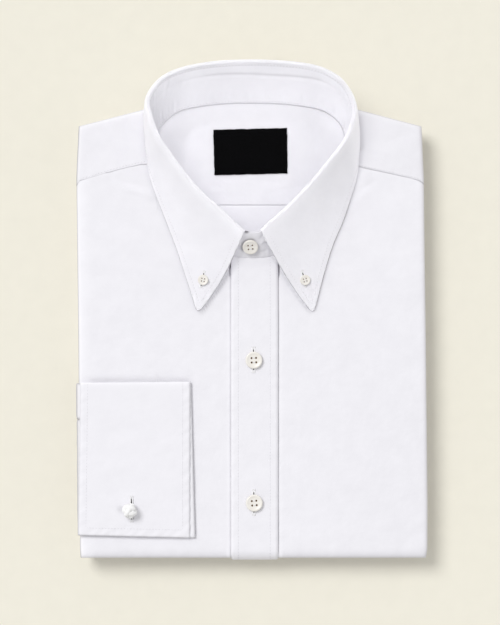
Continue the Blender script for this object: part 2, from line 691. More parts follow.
def neckRadius(angle, outward=0.0, middle=neckMiddle):
    away = neckRing(outward) - np.array(middle)
    angles = np.arctan2(away[:, 1], away[:, 0])
    order = np.argsort(angles)
    return np.interp(angle, angles[order], np.linalg.norm(away, axis=1)[order],
                     period=2 * math.pi)


def neckFrontY(x, outward):
    ring = neckRing(outward)
    low = ring[ring[:, 1] < neckMiddle[1] + 7.0]
    order = np.argsort(low[:, 0])
    return np.interp(x, low[order, 0], low[order, 1], left=999.0, right=999.0)


# fronts

neckEdge = 0.6


def seamFoldX(side):
    return float(sideX(side, yokeSeamY(sideX(side, form["seamFoldY"]))))


def frontPanel(name, side, inner, finish):
    # columns count from the side fold to the edge under the band, rows from the lower fold up
    # to the yoke seam or the neck; each point's height is the folded form's
    sign = -1.0 if side else 1.0
    ring = neckRing(neckEdge)
    widest = ring[:, 0].max() if side else ring[:, 0].min()
    rounds = seamFoldX(side) + sign * roundDistances(11)
    level = np.linspace(rounds[-1], widest, 32)[1:]
    bandEdge = bandEdges[1] if side else bandEdges[0]
    stops = (widest, bandEdge - sign * 2.2, bandEdge + sign * 0.8, inner)
    counts = (38, 14, 4 + 10 * (1 - side))
    under = [np.linspace(a, b, n)[1:] for a, b, n in zip(stops, stops[1:], counts)]
    columns = np.concatenate([rounds, level, *under])
    high = np.minimum(yokeSeamY(columns) - 0.03, neckFrontY(columns, neckEdge))
    lows = form["bottom"] + roundDistances(11)
    rise = np.concatenate([np.linspace(0.0, 0.95, 130), np.linspace(0.95, 1.0, 34)[1:]])[1:]
    y = np.concatenate([np.tile(lows, (len(columns), 1)),
                        lows[-1] + rise[None] * (high[:, None] - lows[-1])], axis=1)
    near = np.clip(1.0 - np.abs(columns - sideX(side, 0.0)) / 60.0, 0.0, 1.0)
    x = columns[:, None] + near[:, None] * (sideX(side, y) - seamFoldX(side))
    grid = np.stack([x, y, frontHeight(x, y)], axis=-1)
    rows = y.shape[1]
    points, cloth = grid.reshape(-1, 3), np.stack([x, y], axis=-1).reshape(-1, 2)
    quads = gridQuads(*y.shape)
    sidePath = np.arange(rows - 1, -1, -1)
    path = np.concatenate([sidePath, np.arange(1, len(columns)) * rows])
    corner = points[0]
    inward = np.zeros((len(path), 2))
    inward[:rows] = np.stack([np.full(rows, sign),
                              cornerShare(points[sidePath, 1] - corner[1])], axis=-1)
    inward[rows:, 0] = sign * cornerShare(points[path[rows:], 0] - corner[0])
    inward[rows:, 1] = 1.0
    points, cloth, strip = tuckUnder(points, cloth, path, inward)
    if not side:
        quads = quads[:, ::-1]
    made = makeMesh(name, points, np.vstack([quads, strip if not side else strip[:, ::-1]]),
                    finish, cloth, {"pressed": pressedFront(points)})
    faceTowards(made, upwards)
    addWall(made, form["wall"])
    return made


def pressedFront(points):
    # lighter inside the fold on the wearer's right and beside the band, and a little darker
    # low on the wearer's left
    x, y = points[:, 0], points[:, 1]
    beside = np.maximum(bandEdges[0] - x, x - bandEdges[1])
    light = 0.32 * bell(x - sideX(0, y) - 3.4, 4.4) + 0.2 * bell(beside - 2.0, 1.0) * (y < 20.0)
    light = light - 0.03 * smoothStep(20.0, 110.0, x) * smoothStep(60.0, -120.0, y)
    light = light - 0.3 * bell(beside - 0.3, 0.4) - 0.17 * bell(y - form["bottom"] - 1.6, 3.2)
    aboveCuff = smoothStep(-122.0, -112.0, x) * (1.0 - smoothStep(-46.0, -38.0, x))
    return light - foldLine(x, y) - 0.24 * aboveCuff * bell(y + 47.6, 1.6)


def foldLine(x, y):
    # the fold's own narrow shade, along the wearer's right side and over the shoulders, and
    # that of the yoke's seam where it goes round the side fold
    side = np.minimum(x - sideX(0, y), sideX(1, y) - x)
    seam = 0.45 * bell(y - yokeSeamY(x), 0.5) * (1.0 - smoothStep(2.5, 6.0, side))
    over = 0.22 * bell(shoulderY(x) - y - 0.3, 0.5)
    return np.maximum(over, 0.75 * bell(x - sideX(0, y) - 0.25, 0.5)) + seam


frontRight = frontPanel("frontRight", 0, frontMeeting - form["seamGap"], cottonFinish)
frontLeft = frontPanel("frontLeft", 1, frontMeeting, cottonFinish)
print("fronts made")

# yoke


def shoulderCorner(side):
    x = float(sideX(side, 125.9))
    return x, float(shoulderY(x))


def yokeOutline(count):
    # points round the yoke's folds, from the seam on one side over the shoulders to the other,
    # each with the direction in which it turns under
    left, right = shoulderCorner(0), shoulderCorner(1)
    start = float(yokeSeamY(sideX(0, form["seamFoldY"])))
    end = float(yokeSeamY(sideX(1, form["seamFoldY"])))
    rise = np.linspace(0.0, 1.0, count)
    leftY = lerp(start, left[1], rise[:-1])
    overX = lerp(left[0], right[0], np.linspace(0.0, 1.0, 4 * count))
    rightY = lerp(right[1], end, rise[1:])
    x = np.concatenate([sideX(0, leftY), overX, sideX(1, rightY)])
    y = np.concatenate([leftY, shoulderY(overX), rightY])
    across = cornerShare(overX - left[0]) - cornerShare(overX - right[0])
    inX = np.concatenate([np.ones(count - 1), across, -np.ones(count - 1)])
    inY = np.concatenate([-cornerShare(leftY - left[1]), -np.ones(4 * count),
                          -cornerShare(rightY - right[1])])
    return np.stack([x, y], axis=-1), np.stack([inX, inY], axis=-1)


def yokePanel(finish):
    # rays from the neck to the outline; the first and last ones are bent onto the yoke seams,
    # and the bend fades over the rays beside them
    outline, inward = yokeOutline(42)
    away = outline - np.array(yokeMiddle)
    angle = np.arctan2(away[:, 1], away[:, 0])
    radius = neckRadius(angle, neckEdge, yokeMiddle)
    start = np.array(yokeMiddle) + radius[:, None] * unitRows(away)
    ring = neckRing(neckEdge)
    for row, x in ((0, ring[:, 0].min()), (-1, ring[:, 0].max())):
        start[row] = (x, yokeSeamY(x))
    share = np.concatenate([np.linspace(0.0, 0.86, 44), 0.86 + 0.14 * np.sin(
        np.linspace(0.0, math.pi / 2, 13)[1:])])
    flat = lerp(start[:, None], outline[:, None], share[None, :, None])
    for row, fade in ((0, np.arange(len(outline))), (-1, np.arange(len(outline))[::-1])):
        bend = yokeSeamY(flat[row, :, 0]) + 0.03 - flat[row, :, 1]
        flat[:, :, 1] += np.clip(1.0 - fade / 12.0, 0.0, 1.0)[:, None] ** 2 * bend[None]
    x, y = flat[..., 0], flat[..., 1]
    grid = np.stack([x, y, frontHeight(x, y)], axis=-1)
    grid[:, -1, 2] = shelf(x[:, -1], y[:, -1]) - form["edgeRound"]
    points, cloth = grid.reshape(-1, 3), flat.reshape(-1, 2)
    path = np.arange(len(outline)) * len(share) + len(share) - 1
    points, cloth, strip = tuckUnder(points, cloth, path, inward)
    made = makeMesh("yokeOuter", points, np.vstack([gridQuads(*x.shape), strip]), finish, cloth,
                    {"pressed": -foldLine(points[:, 0], points[:, 1])
                     - 0.04 * smoothStep(20.0, 70.0, points[:, 0])})
    faceTowards(made, upwards)
    addWall(made, form["wall"])
    return made


yokeOuter = yokePanel(cottonFinish)


def insideLevel(x, y):
    # the inside of the yoke: level, and rising to the neck's seam at the sides and behind
    dx, dy = x - neckMiddle[0], y - neckMiddle[1]
    reach = np.hypot(dx, dy)
    angle = np.arctan2(dy, dx)
    radius = neckRadius(angle)
    rimX = neckMiddle[0] + radius * np.cos(angle)
    rimY = neckMiddle[1] + radius * np.sin(angle)
    rise = np.maximum(0.0, shelf(rimX, rimY) - form["rimGap"] - form["insideFloor"])
    near = smoothStep(0.68, 1.0, reach / radius) * smoothStep(78.0, 108.0, y)
    return form["insideFloor"] + rise * near


insideCreases = (
    (-40.0, 84.0, -8.0, 80.0, 2.4, 0.16), (6.0, 79.0, 44.0, 86.0, 2.4, -0.16),
    (-52.0, 112.0, -34.0, 128.0, 3.0, -0.22), (34.0, 130.0, 52.0, 114.0, 3.0, -0.22),
    (-30.0, 90.0, 26.0, 89.0, 2.0, -0.16), (-36.0, 66.0, 20.0, 62.0, 3.0, 0.18),
    (-10.0, 52.0, 22.0, 60.0, 2.4, -0.18),
)


def insideHeight(x, y):
    relief = 0.10 * softWaves(x, y, 30.0, 7) + creased(x, y, insideCreases)
    seam = y - form["backSeamY"]
    relief = relief + 0.08 * bell(seam - 2.5, 2.0) * unevenWave(x, 6.0, 8)
    relief = relief - 0.16 * bell(seam, 0.5)
    return insideLevel(x, y) + relief


def insideYoke(finish):
    # rings round the neck's middle, cut off straight at the back seam
    angle = np.linspace(-math.pi, math.pi, 221)
    reach = neckRadius(angle, 0.4)
    seam = form["backSeamY"] + 0.06 - neckMiddle[1]
    down = np.sin(angle) < -1e-6
    reach = np.where(down, np.minimum(reach, seam / np.where(down, np.sin(angle), -1.0)), reach)
    share = np.linspace(0.0, 1.0, 40)
    x = neckMiddle[0] + (reach * np.cos(angle))[:, None] * share
    y = neckMiddle[1] + (reach * np.sin(angle))[:, None] * share
    grid = np.stack([x, y, insideHeight(x, y)], axis=-1)
    count, rows = len(angle) - 1, len(share)
    ringPoints = grid[:-1, 1:].reshape(-1, 3)
    points = np.vstack([grid[0, :1], ringPoints])
    here = 1 + np.arange(count)[:, None] * (rows - 1) + np.arange(rows - 2)[None]
    there = 1 + (np.arange(1, count + 1) % count)[:, None] * (rows - 1) + np.arange(rows - 2)
    quads = np.stack([here, here + 1, there + 1, there], axis=-1).reshape(-1, 4)
    fan = np.stack([np.zeros(count), here[:, 0], there[:, 0]], axis=-1)
    light = -0.13 * smoothStep(16.0, 50.0, points[:, 0])
    made = makeMesh("yokeInner", points, quads.tolist() + fan.tolist(), finish, points[:, :2],
                    {"pressed": light})
    faceTowards(made, upwards)
    addWall(made, form["wall"])
    return made


def insideBack(finish):
    # straight rows from the back seam down under the front of the neck
    x = np.linspace(-56.0, 55.0, 74)[:, None]
    share = np.linspace(0.0, 1.0, 30)[None]
    y = lerp(form["backSeamY"] - 0.06, neckFrontY(x, 2.0), share)
    x = x + 0.0 * y
    grid = np.stack([x, y, insideHeight(x, y)], axis=-1)
    made = makeMesh("backInside", grid.reshape(-1, 3), gridQuads(*x.shape), finish,
                    grid.reshape(-1, 3)[:, :2],
                    {"pressed": 0.15 * (1.0 - smoothStep(-4.0, 16.0, x.ravel()))})
    faceTowards(made, upwards)
    addWall(made, form["wall"])
    return made


yokeInner = insideYoke(cottonFinish)
backInside = insideBack(cottonFinish)
print("yokes made")

# hidden layers

layers = {
    "grooveTop": 10.9, "sag": 0.9, "count": 3, "inset": 2.2, "grooveInset": 4.2,
    "waver": 0.7, "points": 420,
}


def layersOutline(count):
    # the folded outline all round at even steps, with its inward directions
    corners = [shoulderCorner(0), shoulderCorner(1), (118.5, form["bottom"]),
               (-116.9, form["bottom"])]
    turns = [(1.0, -1.0), (-1.0, -1.0), (-1.0, 1.0), (1.0, 1.0)]
    outline, inward = [], []
    for k in range(4):
        a, b = np.array(corners[k]), np.array(corners[(k + 1) % 4])
        steps = max(8, int(count * np.linalg.norm(b - a) / 1100.0))
        t = np.linspace(0.0, 1.0, steps, endpoint=False)
        flat = lerp(a[None], b[None], t[:, None])
        if k == 0:
            flat[:, 1] = shoulderY(flat[:, 0])
        if k == 1:
            flat[:, 0] = sideX(1, flat[:, 1])
        if k == 3:
            flat[:, 0] = sideX(0, flat[:, 1])
        middle = ((0.0, -1.0), (-1.0, 0.0), (0.0, 1.0), (1.0, 0.0))[k]
        near = cornerShare(np.linalg.norm(flat - a, axis=1))[:, None]
        far = cornerShare(np.linalg.norm(flat - b, axis=1))[:, None]
        turn = np.array(middle)[None] * np.ones((steps, 1))
        turn = turn + near * (np.array(turns[k]) - turn) + far * (np.array(turns[(k + 1) % 4])
                                                                - turn)
        outline.append(flat)
        inward.append(turn)
    return np.vstack(outline), np.vstack(inward)


def hiddenLayers(finish):
    # sections all round: the sunken top, the round of the folds under the front, then three
    # rolled edges one under another, then the flat underside to its middle
    outline, inward = layersOutline(layers["points"])
    under = form["layerGap"] + form["wall"]
    radius = form["edgeRound"] - under
    lengths = np.linalg.norm(np.roll(outline, -1, axis=0) - outline, axis=1)
    along = np.concatenate([[0.0], np.cumsum(lengths)[:-1]])
    rim = outline + inward * under
    away = rim - np.array(neckMiddle)
    reach = np.linalg.norm(away, axis=1)
    angle = np.arctan2(away[:, 1], away[:, 0])
    ring = neckRadius(angle, 2.6)
    columns = []
    for share in (0.0, 0.03, 0.08, 0.25, 0.5, 0.75, 0.88, 0.94, 0.97, 1.0):
        flat = np.array(neckMiddle) + unitRows(away) * lerp(ring, reach, share)[:, None]
        height = foldedTop(flat[:, 0], flat[:, 1], under)
        height = height - layers["sag"] * smoothStep(118.0, 128.0, flat[:, 1])
        if share == 0.0:
            height = np.minimum(form["pit"], height)
        if share == 1.0:
            height = shelf(outline[:, 0], outline[:, 1]) - form["edgeRound"]
        columns.append(np.column_stack([flat, height]))
    middle = columns[-1][:, 2]
    for turn in np.radians((16.0, 32.0, 47.0)):
        back = under + radius * (1.0 - math.cos(turn))
        columns.append(np.column_stack([outline + inward * back,
                                        middle - radius * math.sin(turn)]))
    groove = np.minimum(layers["grooveTop"], middle - form["edgeRound"] + 0.4)
    deeper = 4.0 * (layers["grooveTop"] - groove) / form["neckDrop"]
    for k in range(layers["count"]):
        high, low = 1.0 - k / layers["count"], 1.0 - (k + 1) / layers["count"]
        shift = layers["waver"] * unevenWave(along, 70.0, 11 + 3 * k) + (0.0, 0.5, 0.2)[k]
        for turn in np.linspace(0.08, 0.98, 9) * math.pi:
            out = math.sin(turn) ** 0.6
            inset = lerp(layers["grooveInset"], layers["inset"] + shift, out) + deeper
            height = groove * lerp(high, low, (1.0 - math.cos(turn)) / 2.0)
            columns.append(np.column_stack([outline + inward * inset[:, None], height]))
    foot = columns[-1][:, :2] + inward * 1.2
    centre = np.array([0.0, -10.0])
    crossing = (foot[:, 1] - tailFold["edgeY"]) / np.abs(foot[:, 1] - centre[1])
    crossing = np.clip(crossing, 0.04, 0.9)[:, None]
    beside = 0.9 / np.linalg.norm(foot - centre, axis=1)[:, None]
    shares = np.concatenate([(crossing - beside) * np.linspace(0.0, 1.0, 9)[None],
                             lerp(crossing + beside, 0.97, np.linspace(0.0, 1.0, 17)[None])],
                            axis=1)
    for share in shares.T:
        flat = lerp(foot, centre, share[:, None])
        columns.append(np.column_stack([flat, underside(flat[:, 0], flat[:, 1])]))
    grid = np.stack(columns, axis=1)
    count, rows = grid.shape[:2]
    points = np.vstack([grid.reshape(-1, 3), [[*neckMiddle, form["pit"]], [*centre, 0.0]]])
    here = np.arange(count)[:, None] * rows + np.arange(rows - 1)
    there = (np.arange(1, count + 1) % count)[:, None] * rows + np.arange(rows - 1)
    quads = np.stack([here, here + 1, there + 1, there], axis=-1).reshape(-1, 4)
    last = here[:, -1] + 1
    top = np.stack([np.full(count, count * rows), here[:, 0], there[:, 0]], axis=-1)
    low = np.stack([np.full(count, count * rows + 1), there[:, -1] + 1, last], axis=-1)
    cloth = points[:, :2] + np.where(points[:, 2:3] < 11.5, points[:, 2:3], 0.0)
    made = makeMesh("foldedLayers", points, quads.tolist() + top.tolist() + low.tolist(),
                    finish, cloth)
    faceTowards(made, lambda middle: unitRows(middle - np.array([[0.0, -10.0, 8.0]])))
    return made


tailFold = {"edgeY": 92.0, "step": 0.9, "flapX": 38.0, "flapStep": 0.35}


def underside(x, y):
    # the tail folded up to a straight edge, and the two side flaps showing above it; all of it
    # is within a millimetre of the table, and the tail rests on it
    tail = smoothStep(tailFold["edgeY"] - 0.4, tailFold["edgeY"] + 0.4, y)
    flap = smoothStep(tailFold["flapX"] - 4.0, tailFold["flapX"] + 4.0, np.abs(x + 4.0))
    return tail * (tailFold["step"] - tailFold["flapStep"] * flap)


foldedLayers = hiddenLayers(cottonFinish)
print("hidden layers made")

# front band

band = {"lift": 1.4, "wall": 0.55, "stitches": (-9.5, 12.2), "furrow": 0.05, "clear": 0.15,
        "notch": (-4.0, 53.9)}
neckButton = {"width": 10.7, "place": (-1.2, 43.9), "hole": (18.5, 2.2), "lift": 0.45}


def bandRelief(x, y):
    # a furrow under each row of stitches, ripples between it and the edge, soft edges
    relief = 0.12 * softWaves(x, y, 34.0, 9)
    relief = relief + 0.04 * bell(x - 1.5, 9.0) * unevenWave(y, 31.0, 4)
    for line, edge, seed in zip(band["stitches"], bandEdges, (1, 2)):
        relief = relief - band["furrow"] * bell(x - line, 0.65)
        outward = 1.0 if edge > 0 else -1.0
        margin = bell(x - 0.5 * (line + edge), 2.1)
        slant = y + 0.6 * outward * x
        relief = relief + 0.19 * margin * unevenWave(slant, 9.5, seed)
        relief = relief + 0.07 * margin * unevenWave(slant, 4.3, seed + 3)
        relief = relief - 0.75 * bell(x - edge, 0.75)
    return relief - 0.15 * smoothStep(-3.2, 0.0, y - neckFrontY(x, band["clear"]))


def bandGrid():
    # rows run down the front and on round the lower fold, as a circle about the fold's middle
    radius = form["edgeRound"] + band["lift"]
    x = np.concatenate([bandEdges[0] + np.array([0.0, 0.3, 0.8]),
                        np.linspace(bandEdges[0] + 1.5, bandEdges[1] - 1.5, 42),
                        bandEdges[1] - np.array([0.8, 0.3, 0.0])])[:, None]
    high, low = neckFrontY(x, band["clear"]), form["bottom"] + form["edgeRound"]
    share = np.linspace(0.0, 1.0, 150)[None]
    level = lerp(high, low, share)
    turn = np.radians(np.linspace(0.0, 90.0 + form["tuckTurn"], 20)[1:])[None]
    y = np.concatenate([level, low - radius * np.sin(turn) + 0.0 * x], axis=1)
    height = np.concatenate([form["top"] + band["lift"] + 0.0 * level,
                             form["top"] - form["edgeRound"] + radius * np.cos(turn) + 0.0 * x],
                            axis=1)
    relief = bandRelief(x, y)
    lean = np.concatenate([0.0 * level, turn + 0.0 * x], axis=1)
    grid = np.stack([x + 0.0 * y, y - relief * np.sin(lean),
                     height + relief * np.cos(lean)], axis=-1)
    return grid


def bandTone(grid):
    # lighter along both edges, and darker under the neckband, most of all beside the collar
    x, y = grid[..., 0], grid[..., 1]
    edge = np.minimum(x - bandEdges[0], bandEdges[1] - x)
    under = bell(np.maximum(0.0, neckFrontY(np.clip(x, -30.0, 30.0), 0.0) - y), 5.0)
    return 0.07 * bell(edge - 2.6, 1.2) - under * (0.05 + 0.10 * bell(edge, 6.0))


bandSurface = bandGrid()
frontBand = makeMesh("frontBand", bandSurface.reshape(-1, 3), gridQuads(*bandSurface.shape[:2]),
                     cottonFinish, gridLengths(bandSurface).reshape(-1, 2),
                     {"pressed": bandTone(bandSurface).ravel()})
faceTowards(frontBand, upwards)
addWall(frontBand, band["wall"])
print("front band made")

# collar


def bothSides(step):
    # section numbers from the right front point round the back to the left front point
    t = np.arange(0.0, collar["last"] + step / 2, step)
    t[-1] = collar["last"]
    return t


def leafSurface():
    # the two halves' sections one after another, then relief along the surface's normal
    t = bothSides(0.05)
    shares = np.concatenate([np.linspace(0.03, 0.9, 30),
                             (0.92, 0.94, 0.956, 0.969, 0.979, 0.986, 0.991, 0.9955, 1.0)])
    right = leafGrid(collarSections(0, t[::-1]), 12, shares)
    left = leafGrid(collarSections(1, t[1:]), 12, shares)
    grid = np.concatenate([right, left], axis=0)
    normal = gridNormals(grid)
    cloth = gridLengths(grid)
    toEdge = distanceBack(grid)
    toFront = np.minimum(distanceAlong(grid), distanceAlong(grid[::-1])[::-1])
    inset = np.minimum(toEdge, toFront)
    u, v = cloth[..., 1], cloth[..., 0]
    onLeaf = smoothStep(10.0, 16.0, v)
    relief = 0.16 * softWaves(u, v, 34.0, 12) * onLeaf
    relief = relief - 0.05 * bell(inset - collar["stitchInset"], 0.6) * onLeaf
    ripple = unevenWave(u + v, 6.4, 13) * bell(inset - 2.2, 1.8)
    relief = relief + 0.07 * ripple * onLeaf
    relief = relief + 0.12 * unevenWave(v, 5.4, 6) * bell(toFront - 2.6, 1.9) * onLeaf
    relief = relief - 0.25 * bell(inset, 0.5) * onLeaf
    away = grid[..., :2] - np.array(neckMiddle)
    turn = np.sign((normal[..., :2] * away).sum(axis=-1).mean())
    grid = grid + turn * normal * relief[..., None]
    crest = collar["seamBelowRoll"] + collar["roll"] * math.pi / 2.0
    leftwards = smoothStep(20.0, -20.0, grid[..., 0])
    pressed = lerp(0.3, 0.42, leftwards) * bell(v - crest - lerp(2.4, 1.5, leftwards), 3.3)
    pressed = pressed + 0.85 * smoothStep(0.4, 0.8, turn * normal[..., 0])
    pressed = pressed - lerp(1.1, 0.65, leftwards) * bell(toEdge, 0.55) * (grid[..., 1] < 128.0)
    pressed = pressed - 0.8 * bell(toFront, 0.5) * onLeaf
    for tip, beside, above in ((grid[0, -1], grid[6, -1], grid[0, -6]),
                               (grid[-1, -1], grid[-7, -1], grid[-1, -6])):
        inwards = unitRows(unitRows(beside - tip) + unitRows(above - tip))
        near = np.clip(1.0 - np.linalg.norm(grid - tip, axis=-1) / collar["tipReach"], 0.0, 1.0)
        grid = grid + collar["tipRound"] * near[..., None] ** 2 * inwards
    return grid, turn * normal, pressed


def distanceBack(grid):
    # along each section, the length from a point to the section's last point
    steps = np.linalg.norm(np.diff(grid, axis=1), axis=-1)
    return np.concatenate([np.cumsum(steps[:, ::-1], axis=1)[:, ::-1],
                           np.zeros((len(grid), 1))], axis=1)


def distanceAlong(grid):
    steps = np.linalg.norm(np.diff(grid, axis=0), axis=-1)
    return np.concatenate([np.zeros((1, grid.shape[1])), np.cumsum(steps, axis=0)], axis=0)


leafPoints, leafNormals, leafPressed = leafSurface()
collarLeaf = makeMesh("collarLeaf", leafPoints.reshape(-1, 3),
                      gridQuads(*leafPoints.shape[:2]), collarFinish,
                      gridLengths(leafPoints).reshape(-1, 2), {"pressed": leafPressed.ravel()})


def awayFromNeck(middle):
    away = middle - np.array([[*neckMiddle, 0.0]])
    away[:, 2] = 0.0
    return unitRows(away)


faceTowards(collarLeaf, awayFromNeck)
addWall(collarLeaf, collar["wall"])


def shadeBeside(made, line, depth, away, width, side=1.0):
    # darkens a piece in a soft band on one side of a line over it, seen from above; side is
    # 1 for +X and -1 for -X
    count = len(made.data.vertices)
    place, tone = np.zeros(count * 3), np.zeros(count)
    made.data.vertices.foreach_get("co", place)
    made.data.attributes["pressed"].data.foreach_get("value", tone)
    apart = place.reshape(-1, 3)[:, None, :2] / mm - line[None, :, :2]
    reach = np.hypot(apart[..., 0], apart[..., 1])
    near = reach.argmin(axis=1)[:, None]
    beyond = smoothStep(-0.5, 1.5, side * np.take_along_axis(apart[..., 0], near, axis=1)[:, 0])
    shade = depth * beyond * bell(reach.min(axis=1) - away, width)
    made.data.attributes["pressed"].data.foreach_set("value", tone - shade)


shadeBeside(frontRight, leafPoints[0, 24:], 0.42, 1.0, 1.5)
shadeBeside(frontBand, leafPoints[-1, 20:], 0.34, 0.6, 1.3, -1.0)
shadeBeside(frontLeft, leafPoints[-1, 20:], 0.34, 0.6, 1.3, -1.0)
besideCollar = leafPoints[260:, -1]
for low, high, depth, away, width in ((112.0, 131.0, 0.24, 1.9, 2.1),
                                      (101.0, 110.0, 0.14, 0.6, 1.0)):
    level = (besideCollar[:, 1] > low) & (besideCollar[:, 1] < high)
    shadeBeside(yokeOuter, besideCollar[level], depth, away, width)


def frontStand(drop, shares):
    # the stand's section at the centre front, dropped inwards by its lap
    top, base = np.array(collar["frontTop"]), np.array(collar["frontBase"])
    inward = unitRows(np.cross(top - base, np.array([1.0, 0.0, 0.0])))
    inward = -inward if inward[2] > 0.0 else inward
    return np.stack([lerp(top, base, s) + drop * inward for s in shares])[None]


# pulled by the button: trough and ridge lines on the front of the stand, as for the fronts;
# a minus sign stands out here, because the stand is measured towards the neck
bandCreases = (
    (-6.5, 52.5, -1.0, 49.5, 0.9, -0.42), (-7.5, 49.5, -3.5, 47.5, 0.8, 0.42),
    (3.5, 49.0, 8.0, 52.0, 0.9, 0.38), (4.5, 46.5, 10.0, 47.8, 0.7, -0.40),
    (-12.0, 40.5, -6.0, 42.5, 1.0, 0.42), (4.0, 41.5, 11.0, 40.5, 1.0, 0.36),
)


def standSurface():
    # the band's sections in order: the under end, the right side, the left side, the upper end
    # that laps over it; a smooth curve runs through them
    shares = np.linspace(0.0, 1.0, 34)
    t = bothSides(0.5)
    lap = smoothStep(9.5, 11.5, t[::-1]) * collar["lap"]
    parts = [
        standColumns(collarSections(1, np.array([12.6, 13.0])), np.full(2, collar["lap"]), shares),
        frontStand(collar["lap"], shares),
        standColumns(collarSections(0, t[::-1]), lap, shares),
        standColumns(collarSections(1, t[1:]), np.zeros(len(t) - 1), shares),
        frontStand(0.0, shares),
        standColumns(collarSections(0, np.array([13.0, 12.5, 12.1])), np.zeros(3), shares),
    ]
    rows = np.concatenate(parts, axis=0)
    padded = np.concatenate([2 * rows[:1] - rows[1:2], rows, 2 * rows[-1:] - rows[-2:-1]])
    fine = np.linspace(0.0, len(rows) - 1, (len(rows) - 1) * 8 + 1)
    grid = throughRows(padded.reshape(len(padded), -1), fine).reshape(len(fine), -1, 3)
    normal = gridNormals(grid)
    toNeck = np.array(neckMiddle) - grid[..., :2]
    normal = normal * np.sign((normal[..., :2] * toNeck).sum(axis=-1).mean())
    lengths = gridLengths(grid)
    u, v = lengths[..., 1], lengths[..., 0]
    height = v / v.max()
    middle = u.max() / 2.0
    behind = bell(u - middle, 95.0)
    corners = bell(u - middle - 86.0, 26.0) + bell(u - middle + 86.0, 26.0)
    relief = -0.05 * bell(v - 0.8, 0.5) - 0.9 * behind * np.sin(math.pi * height)
    fold = v - 8.9 + 0.9 * unevenWave(grid[..., 0], 90.0, 3)
    relief = relief - 0.55 * behind * bell(fold, 1.1)
    relief = relief + 0.08 * behind * bell(v - 12.5, 2.4)
    relief = relief + 0.34 * unevenWave(u, 4.6, 14) * bell(height - 0.84, 0.13)
    relief = relief + 0.32 * unevenWave(u + 0.2 * v, 5.0, 15) * bell(height - 0.22, 0.20) * (
        0.3 + 1.2 * corners)
    relief = relief - 0.12 * bell(v - v.max() + 2.0, 0.5)
    relief = relief + creased(grid[..., 0], grid[..., 1], bandCreases) * (grid[..., 1] < 62.0)
    return grid + normal * relief[..., None], normal


def standTone(part):
    # the front shows darker under its top edge and round the button, and darkest in the notch
    # where its end goes under the collar; the back is lighter on the wearer's right and darker
    # on the left, and at both ends where it turns in under the roll
    x, y = part[..., 0], part[..., 1]
    back = smoothStep(96.0, 108.0, y)
    sides = 0.35 * smoothStep(-24.0, -44.0, x) * smoothStep(116.0, 132.0, y)
    sides = sides - 0.09 * smoothStep(20.0, 44.0, x)
    v = gridLengths(part)[..., 0]
    crease = 0.24 * bell(v - 8.9 + 0.9 * unevenWave(x, 90.0, 3), 1.1)
    crease = crease * smoothStep(58.0, 34.0, np.abs(x))
    sides = sides - crease - lerp(0.2, 0.55, smoothStep(-10.0, -50.0, x)) * bell(v - 0.9, 0.5)
    front = smoothStep(2.0, 5.0, gridLengths(part)[..., 0]) * (y < 56.0)
    aside = np.hypot(x - neckButton["place"][0], 1.15 * (y - neckButton["place"][1]))
    crescent = bell(aside - 5.6, 1.0) * smoothStep(-2.0, 3.0, y - x - 46.0)
    notch = bell(np.hypot(0.8 * (x - band["notch"][0]), y - band["notch"][1]), 1.0)
    return sides * back - 0.12 * front - 0.8 * crescent * (y < 56.0) - 1.7 * notch


def standPart(name, rows):
    part = standPoints[rows]
    made = makeMesh(name, part.reshape(-1, 3), gridQuads(*part.shape[:2]), collarFinish,
                    gridLengths(part).reshape(-1, 2), {"pressed": standTone(part).ravel()})
    faceTowards(made, lambda middle: -awayFromNeck(middle))
    addWall(made, collar["wall"])
    return made


standPoints, standNormals = standSurface()
behindFront = np.nonzero(standPoints[:, 0, 1] > 100.0)[0]
collarStand = standPart("collarStand", slice(behindFront[0], behindFront[-1] + 1))
standUnderEnd = standPart("standUnderEnd", slice(0, behindFront[0] + 1))
standUpperEnd = standPart("standUpperEnd", slice(behindFront[-1], None))
print("collar made")

# label

label = {"corners": ((-26.6, 123.8), (23.8, 125.0), (24.1, 94.0), (-25.8, 92.7)),
         "lift": 1.1, "wall": 0.7, "waver": 0.14}


def labelRibbonPiece(finish):
    # a four-cornered patch whose edges waver and whose corners stand up a little
    a, b, c, d = [np.array(p) for p in label["corners"]]
    u = np.linspace(0.0, 1.0, 64)[:, None, None]
    v = np.linspace(0.0, 1.0, 40)[None, :, None]
    flat = lerp(lerp(a, b, u), lerp(d, c, u), v)
    x, y = flat[..., 0], flat[..., 1]
    edgeU = bell(u[..., 0], 0.02) - bell(u[..., 0] - 1.0, 0.02)
    edgeV = bell(v[..., 0], 0.03) - bell(v[..., 0] - 1.0, 0.03)
    shiftX = label["waver"] * edgeU * (unevenWave(y, 9.0, 3) + 0.5 * unevenWave(y, 2.6, 4))
    shiftY = label["waver"] * edgeV * (unevenWave(x, 11.0, 5) + 0.5 * unevenWave(x, 2.8, 6))
    rim = np.minimum(np.minimum(u[..., 0], 1 - u[..., 0]) * 50.0,
                     np.minimum(v[..., 0], 1 - v[..., 0]) * 31.0)
    height = insideHeight(x, y) + label["lift"] - 0.45 * bell(rim, 0.5)
    height = height + 0.10 * softWaves(x, y, 16.0, 2) + 0.14 * bell(rim - 1.5, 1.2)
    grid = np.stack([x + shiftX, y + shiftY, height], axis=-1)
    made = makeMesh("neckLabel", grid.reshape(-1, 3), gridQuads(*x.shape), finish,
                    grid.reshape(-1, 3)[:, :2])
    faceTowards(made, upwards)
    addWall(made, label["wall"])
    return made


neckLabel = labelRibbonPiece(labelFinish)
print("label made")

# cuff and sleeve

